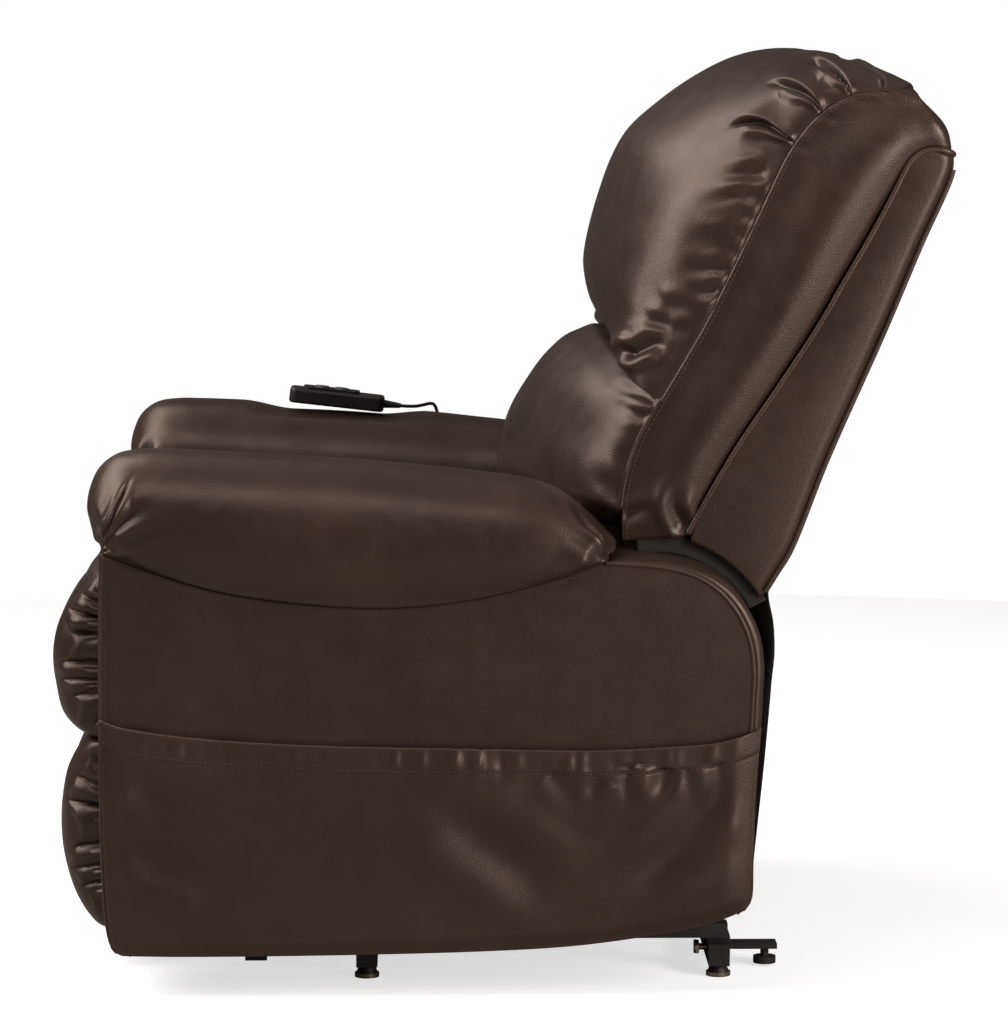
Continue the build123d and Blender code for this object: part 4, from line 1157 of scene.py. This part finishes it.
def make_lumbar_pillow():
    ribs = 170
    seam, crest = smooth_curve(LUMBAR_SEAM, ribs), smooth_curve(LUMBAR_CREST, ribs)
    narrower = (SEAM_X - BETWEEN_ARMS) * (1 - smoothstep(seam[:, 1], .528, .560))
    grid = pillow_grid(seam, crest, SEAM_X - UPHOLSTERY_GAP - narrower, 240, LUMBAR_FULLNESS, 0.020)
    pillow = grid_object("lumbar_cushion", grid, HIDE, wrap_columns=True, cap_ends=True)
    creases = [fold(*row) for row in LUMBAR_FOLDS]

    def relief(points):
        tucked = 1 - smoothstep(points[:, 2], .700, .748)
        soft = 0.0034 * noise_height(points, 10.0, 41) + 0.0012 * noise_height(points, 30.0, 42)
        outline = points[:, 1:]
        flank = smoothstep(seam_gap(outline, seam), 0.0, 0.006) * smoothstep(np.abs(points[:, 0]), .13, .22)
        return soft * tucked + flank * fold_height(outline, creases)

    raise_points(pillow, relief)
    return upholstery(pillow, "back", "lumbar_pillow", fill=0.75)


# the shell's top corner, then its top edge: each (x, y, z), for the left half of the piping
SHELL_CORNER = [(SHELL_X - .003, .503, .9735), (SHELL_X - .003, .515, .972),
                (SHELL_X - .003, .523, .9695), (SHELL_X - .012, .527, .967),
                (SHELL_X - .035, .527, .966)]
SHELL_TOP = [(.15, .527, .966), (0, .527, .967), (-.15, .527, .966)]
BAND_INSIDE, BACK_CENTRE = np.array([0, .30, .78]), np.array([0, .26, .78])
EDGE_SIDE_SHARE = 0.36              # the share of the two edges' points along each side


def back_edges(count):
    """The pillow's seam and the shell's piping: up the left side, across the top, down the right."""
    side = int(count * EDGE_SIDE_SHARE)
    top = count - 2 * side
    left_seam = in_side_plane(SEAM_X, smooth_curve(LUMBAR_SEAM[2:7][::-1] + HEAD_SEAM[:-1][::-1], side))
    left_piping = in_side_plane(SHELL_X - 0.003, smooth_curve(PIPING_SIDE[:-2], side))
    turn = np.linspace(0, pi, top + 2)[1:-1]
    bulge = 2 / HEAD_FULLNESS
    rise = np.sin(turn) ** bulge
    start, crown = np.array(HEAD_SEAM[0]), np.array(HEAD_CREST[0])
    over = np.column_stack([SEAM_X * power(np.cos(turn), bulge), start + (crown - start) * rise[:, None]])
    across = smooth_curve(np.vstack([SHELL_CORNER, SHELL_TOP, mirrored(SHELL_CORNER[::-1])]), top)
    seam = np.vstack([left_seam, over, mirrored(left_seam[::-1])])
    piping = np.vstack([left_piping, across, mirrored(left_piping[::-1])])
    return smoothed(seam, 3), smoothed(piping, 2)


def smoothed(route, times):
    route = route.copy()
    for _ in range(times):
        route[1:-1] = route[1:-1] * 0.5 + (route[:-2] + route[2:]) * 0.25
    return route


def make_gusset():
    """The puffed boxing between the pillow's seam and the shell's piping, with its cord and stitching."""
    count, across = 460, 56
    seam, piping = back_edges(count)
    chord = piping - seam
    length = np.linalg.norm(chord, axis=1, keepdims=True)
    outward = np.cross(np.gradient((seam + piping) / 2, axis=0), chord)
    outward /= np.linalg.norm(outward, axis=1, keepdims=True)
    middle = (seam + piping) / 2 - BAND_INSIDE
    outward *= np.sign(np.sum(outward * middle, axis=1, keepdims=True))
    outward = smoothed(outward, 12)
    w = np.linspace(0, 1, across)
    groove = 0.45 * smoothstep(w, 0.90, 1.0) * (1 - smoothstep(w, 0.985, 1.0))
    puff = np.sin(pi * w ** 1.30) ** 1.30 - groove
    low_end = smoothstep(np.linspace(0, 1, count), 0, .03) * smoothstep(np.linspace(1, 0, count), 0, .03)
    height = (0.115 * length[:, 0] + 0.0010) * (0.25 + 0.75 * low_end)
    face = seam[:, None] + chord[:, None] * w[None, :, None]
    face = face + outward[:, None] * (height[:, None] * puff[None, :])[..., None]
    inner = seam[:, None] + chord[:, None] * w[::-1][None, 1:-1:3, None] - outward[:, None] * 0.006
    grid = np.concatenate([face, inner], axis=1)
    band = grid_object("back_gusset", grid, HIDE, wrap_columns=True, cap_ends=True)
    creases = [fold(*row) for row in GUSSET_FOLDS]
    for y, z in (path[0] for path in TOP_PLEATS[:4]):
        creases.append(fold([(y, z), (y + .020, z - .012)], .0050, .0014, .6, .0, .8))
    seam_line = seam[:count // 3, 1:]

    def relief(points):
        outline = points[:, 1:]
        flank = smoothstep(seam_gap(outline, seam_line), 0.0, 0.006)
        flank = flank * smoothstep(np.abs(points[:, 0]), .25, .30)
        return 0.0014 * noise_height(points, 14.0, 51) * flank + flank * fold_height(outline, creases)

    raise_points(band, relief)
    upholstery(band, "back", fill=0.7)
    upholstery(tube("shell_piping", evenly(piping + outward * 0.0012, 700), PIPING, HIDE), "back")
    line = nearest_on(band, evenly(seam + chord / length * 0.0055 + outward * 0.002, 500))
    upholstery(stitches("pillow_seam_stitches", line, lambda p: p - BACK_CENTRE, THREAD), "back")


def nearest_on(piece, points):
    tree = surface_tree(piece)
    return np.array([tree.find_nearest(Vector(p))[0] for p in points])


SHELL_FOOT, SHELL_HEAD = (.2265, .519), (.5005, .9715)
SHELL_CORNER_RADIUS = 0.016
SHELL_CROWN = 0.004                 # how full the side walls and the rear panel are
CORNER_WELT = 0.0032


def make_shell():
    """The hard back's leather skin: two side walls and the rear panel, rounded at the rear corners."""
    levels, wall, panel = 110, 30, 60
    front = smooth_curve([SHELL_FOOT] + PIPING_SIDE[1:-2] + [SHELL_HEAD], levels)
    rear = smooth_curve(SHELL_REAR, levels)
    radius = SHELL_CORNER_RADIUS
    share = np.linspace(0, 1, levels)
    low_edge = np.clip(1 - share / 0.25, 0, 1) ** 2
    ring = []
    for w in np.linspace(0, 1, wall):
        sag = 0.009 * 4 * w * (1 - w) * low_edge
        place = front * (1 - w) + rear * w + sag[:, None] * np.array([0.65, 0.76])
        pull = np.clip((w - 1) * np.linalg.norm(rear - front, axis=1) + radius, 0, radius)
        x = SHELL_X - radius + np.sqrt(np.maximum(radius ** 2 - pull ** 2, 0))
        puff = SHELL_CROWN * np.sin(pi * w) * np.sin(pi * share) ** 0.5
        ring.append(np.column_stack([x + puff, place]))
    side_wall = np.stack(ring, axis=1)
    across = np.linspace(SHELL_X - radius, -(SHELL_X - radius), panel)[1:-1]
    crown = SHELL_CROWN * np.cos(across / SHELL_X * pi / 2)[None, :] * np.sin(pi * share)[:, None]
    rear_panel = np.dstack([np.broadcast_to(across, crown.shape), rear[:, None, 0] + crown,
                            np.broadcast_to(rear[:, None, 1], crown.shape)])
    grid = np.concatenate([side_wall, rear_panel, mirrored(side_wall[:, ::-1])], axis=1)
    shell = grid_object("shell_skin", grid, SKIN)

    def relief(points):
        return 0.0009 * noise_height(points, 8.0, 61) + 0.0004 * noise_height(points, 30.0, 62)

    turn_outward(shell, (0, 1, 0))
    raise_points(shell, relief)
    thicken(shell, 0.004, -1.0)
    upholstery(shell, "back", "back_shell", slot="upholstery_skin")
    inset = rear + (front - rear) / np.linalg.norm(front - rear, axis=1, keepdims=True) * 0.021
    corner = rear + (-radius * .06, 0)
    for side, name in ((1, "left"), (-1, "right")):
        line = on_surface(shell, in_side_plane(side * (SHELL_X + .002), inset)[4:-12], (side, 0, 0))
        upholstery(stitches(f"{name}_shell_stitches", line, (side, 0, 0), THREAD), "back")
        welt = evenly(in_side_plane(side * (SHELL_X - radius * .30), corner)[2:-3], 300)
        upholstery(tube(f"{name}_shell_corner_welt", welt, CORNER_WELT, SKIN), "back")


FLAP_FIXED = [(.3015, .117), (.3075, .187), (.3165, .280), (.3235, .352)]
FLAP_LOOSE = [(.3235, .352), (.3255, .385), (.3235, .420), (.3180, .455), (.3230, .480)]
FLAP_WAVE = 0.0016
FLAP_THICK, SKIRT_THICK = 0.0008, 0.001


def make_dust_flap():
    """Thin black cloth closing the rear below the back: a lower part that rides on the chair, and an upper
    part left attached to no body.
    """
    half = SHELL_X - 0.030
    across = np.linspace(-half, half, 120)
    for name, outline in (("dust_flap_lower", smooth_curve(FLAP_FIXED, 50)),
                          ("dust_flap_upper", smooth_curve(FLAP_LOOSE, 30))):
        rows = len(outline)
        wave = FLAP_WAVE * np.sin(across[None, :] * 21.0 + 1.0) * np.sin(np.linspace(0, pi, rows))[:, None]
        grid = np.dstack([np.broadcast_to(across, wave.shape), outline[:, None, 0] + wave,
                          np.broadcast_to(outline[:, None, 1], wave.shape)])
        flap = grid_object(name, grid, FINISHES["dust_fabric"])
        turn_outward(flap, (0, 1, 0))
        thicken(flap, FLAP_THICK, 0.0)
        if name == "dust_flap_lower":
            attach(flap, "chair")
            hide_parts("rear_dust_cover")
        else:
            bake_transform(flap)


SKIRT_ARC = (27, 100)               # degrees up from the rear, about the hinge
SKIRT_OVERLAP = 0.0155


def make_skirts():
    """Black cloth closing the gap under each side of the back, in an arc about the hinge over the arm."""
    turn = np.radians(np.linspace(*SKIRT_ARC, 50))
    share = np.linspace(0, 1, 8)
    inner = SHELL_RADIUS - SKIRT_OVERLAP
    outer = SHELL_RADIUS + 0.006 + 0.015 * smoothstep(turn, 1.25, 1.7)
    radius = inner + (outer[:, None] - inner) * share
    y, z = HINGE[0] + radius * np.cos(turn)[:, None], HINGE[1] + radius * np.sin(turn)[:, None]
    for side, name in ((1, "left"), (-1, "right")):
        x = np.full(radius.shape, side * (SHELL_X - 0.010))
        skirt = grid_object(f"{name}_back_skirt", np.dstack([x, y, z]), FINISHES["dust_fabric"])
        turn_outward(skirt, (side, 0, 0))
        thicken(skirt, SKIRT_THICK, 0.0)
        upholstery(skirt, "back", slot="dust_fabric")


# ---------------------------------------------------------------- leg rest and seat
def end_stations(half, radius, middle, corner):
    """Places across a padded piece, and how full it is at each, falling off round its two ends."""
    quarter = np.linspace(0, pi / 2, corner)
    low = -(half - radius) - radius * np.sin(quarter[::-1])
    inside = np.linspace(-(half - radius), half - radius, middle)[1:-1]
    x = np.concatenate([low, inside, -low[::-1]])
    full = np.concatenate([np.cos(quarter[::-1]), np.ones(len(inside)), np.cos(quarter)])
    return x, full


LEG_PAD_ROUND = 0.050               # the radius of a pad's two ends, seen from above
LEG_PAD_THIN, LEG_PAD_LOW = 0.06, 0.88  # its depth and height at the very ends, over the full ones
LEG_PAD_PUFF, LEG_PAD_RUFFLE = 0.0090, 0.0032


def make_leg_pad(name, node, outline, puffs, phase):
    """A leg-rest pad: a rolled front, its two ends drawn together in ruched puffs."""
    profile = smooth_curve(outline, 190)
    x, full = end_stations(LEG_PAD_X - 0.002, LEG_PAD_ROUND, 90, 60)
    full = full[:, None] ** 0.62
    centre = profile[:, 1].mean()
    depth = (profile[None, :, 0] - BOARD_FRONT) * (LEG_PAD_THIN + (1 - LEG_PAD_THIN) * full)
    y = BOARD_FRONT + depth
    z = centre + (profile[None, :, 1] - centre) * (LEG_PAD_LOW + (1 - LEG_PAD_LOW) * full)
    front = swollen(np.dstack([np.broadcast_to(x[:, None], y.shape), y, z]), True, (72, 32), PAD_CAP)
    share = np.linspace(0, 1, 14)[None, 1:-1, None]
    rear = front[:, -1:] * (1 - share) + front[:, :1] * share
    rear[:, :, 1] = BOARD_FRONT - 0.0008
    grid = np.concatenate([front, rear], axis=1)
    pad = grid_object(name, grid, HIDE, wrap_columns=True, cap_ends=True)
    low, high = profile[:, 1].min(), profile[:, 1].max()

    def relief(points):
        up = (points[:, 2] - low) / (high - low)
        from_end = LEG_PAD_X - np.abs(points[:, 0])
        side = np.sign(points[:, 0])
        reach = np.interp(points[:, 2], profile[::-1, 1], BOARD_FRONT - profile[::-1, 0])
        out = np.clip((BOARD_FRONT - points[:, 1]) / np.maximum(reach, 0.010), 0, 1)
        fan = 0.5 + (up - 0.5) * (1.25 - 0.40 * out)
        wander = 0.045 * np.sin(13 * fan + 2.1 * side + phase)
        wander = wander + 0.05 * out * np.sin(9 * fan + 3 * phase + side)
        puff = np.abs(np.sin(pi * (puffs * (fan + wander) + 0.25 * side + phase))) ** 0.55 - 0.60
        size = 1 + 0.35 * np.sin(11 * up + phase + side)
        tips = 0.80 + 0.12 * np.sin(17 * up + 2 * phase + side)
        gather = (1 - smoothstep(out, tips - 0.16, tips)) * (1 - smoothstep(from_end, 0.040, 0.060))
        ruffle = np.abs(np.sin(pi * (2.3 * puffs * (fan + 1.6 * wander) + phase))) ** 0.7 - 0.6
        inner = (1 - smoothstep(out, 0.30, 0.52)) * (1 - smoothstep(from_end, 0.020, 0.040))
        flat = smoothstep(up, 0.04, 0.16) * (1 - smoothstep(up, 0.84, 0.96))
        soft = 0.0024 * noise_height(points, 12.0, 71) + 0.0008 * noise_height(points, 34.0, 72)
        front_side = smoothstep(BOARD_FRONT - points[:, 1], -0.002, 0.010)
        ruched = LEG_PAD_PUFF * size * puff * gather + LEG_PAD_RUFFLE * ruffle * inner
        return front_side * (soft + flat * ruched)

    raise_points(pad, relief)
    return upholstery(pad, "legrest_board", node, fill=0.7)


SEAT_PROFILE = [(.100, .389), (-.100, .388), (-.300, .388), (-.405, .390), (-.428, .400),
                (-.4355, .424), (-.433, .452), (-.418, .476), (-.385, .490), (-.300, .4975),
                (-.150, .4990), (.000, .4960), (.080, .4850), (.106, .4640), (.112, .4300),
                (.110, .4010)]
SEAT_MIDDLE = (-.160, .443)


def make_seat():
    """The seat pad: one closed profile across the chair, a little thinner at its two sides."""
    closed = np.array(SEAT_PROFILE + SEAT_PROFILE[:3])
    loop = smooth_curve(closed, 400)
    start = int(np.argmin(np.linalg.norm(loop[:60] - SEAT_PROFILE[1], axis=1)))
    stop = 200 + int(np.argmin(np.linalg.norm(loop[200:] - SEAT_PROFILE[1], axis=1)))
    profile = evenly(loop[start:stop + 1], 240)[:-1]
    x, full = end_stations(BETWEEN_ARMS + 0.006, 0.026, 110, 16)
    rise = (0.55 + 0.45 * full ** 0.7)[:, None]
    pinch = (0.975 + 0.025 * full ** 0.7)[:, None]
    y = SEAT_MIDDLE[0] + (profile[None, :, 0] - SEAT_MIDDLE[0]) * pinch
    z = SEAT_MIDDLE[1] + (profile[None, :, 1] - SEAT_MIDDLE[1]) * rise
    grid = np.dstack([np.broadcast_to(x[:, None], y.shape), y, z])
    seat = grid_object("seat_pad", grid, HIDE, wrap_columns=True, cap_ends=True)

    def relief(points):
        top = smoothstep(points[:, 2], .46, .485)
        crown = -0.007 * (np.abs(points[:, 0]) / .25) ** 2 * top
        soft = 0.0026 * noise_height(points, 10.0, 81) + 0.0010 * noise_height(points, 30.0, 82)
        return (soft - 0.003) * top + crown

    raise_points(seat, relief)
    upholstery(seat, "chair", "seat_cushion", fill=0.8)


# ---------------------------------------------------------------- the whole chair
make_camera()
make_cord()
make_studio()
finish_cad_nodes()
for side_sign in (1, -1):
    make_side_cover(side_sign)
    make_arm_pad(side_sign)
make_pocket()
make_head_pillow()
make_lumbar_pillow()
make_gusset()
make_shell()
make_dust_flap()
make_skirts()
make_leg_pad("leg_rest_upper_pad", "legrest_upper_pad", UPPER_PAD, 7.5, 0.15)
make_leg_pad("leg_rest_lower_pad", "legrest_lower_pad", LOWER_PAD, 6.5, 0.55)
make_seat()
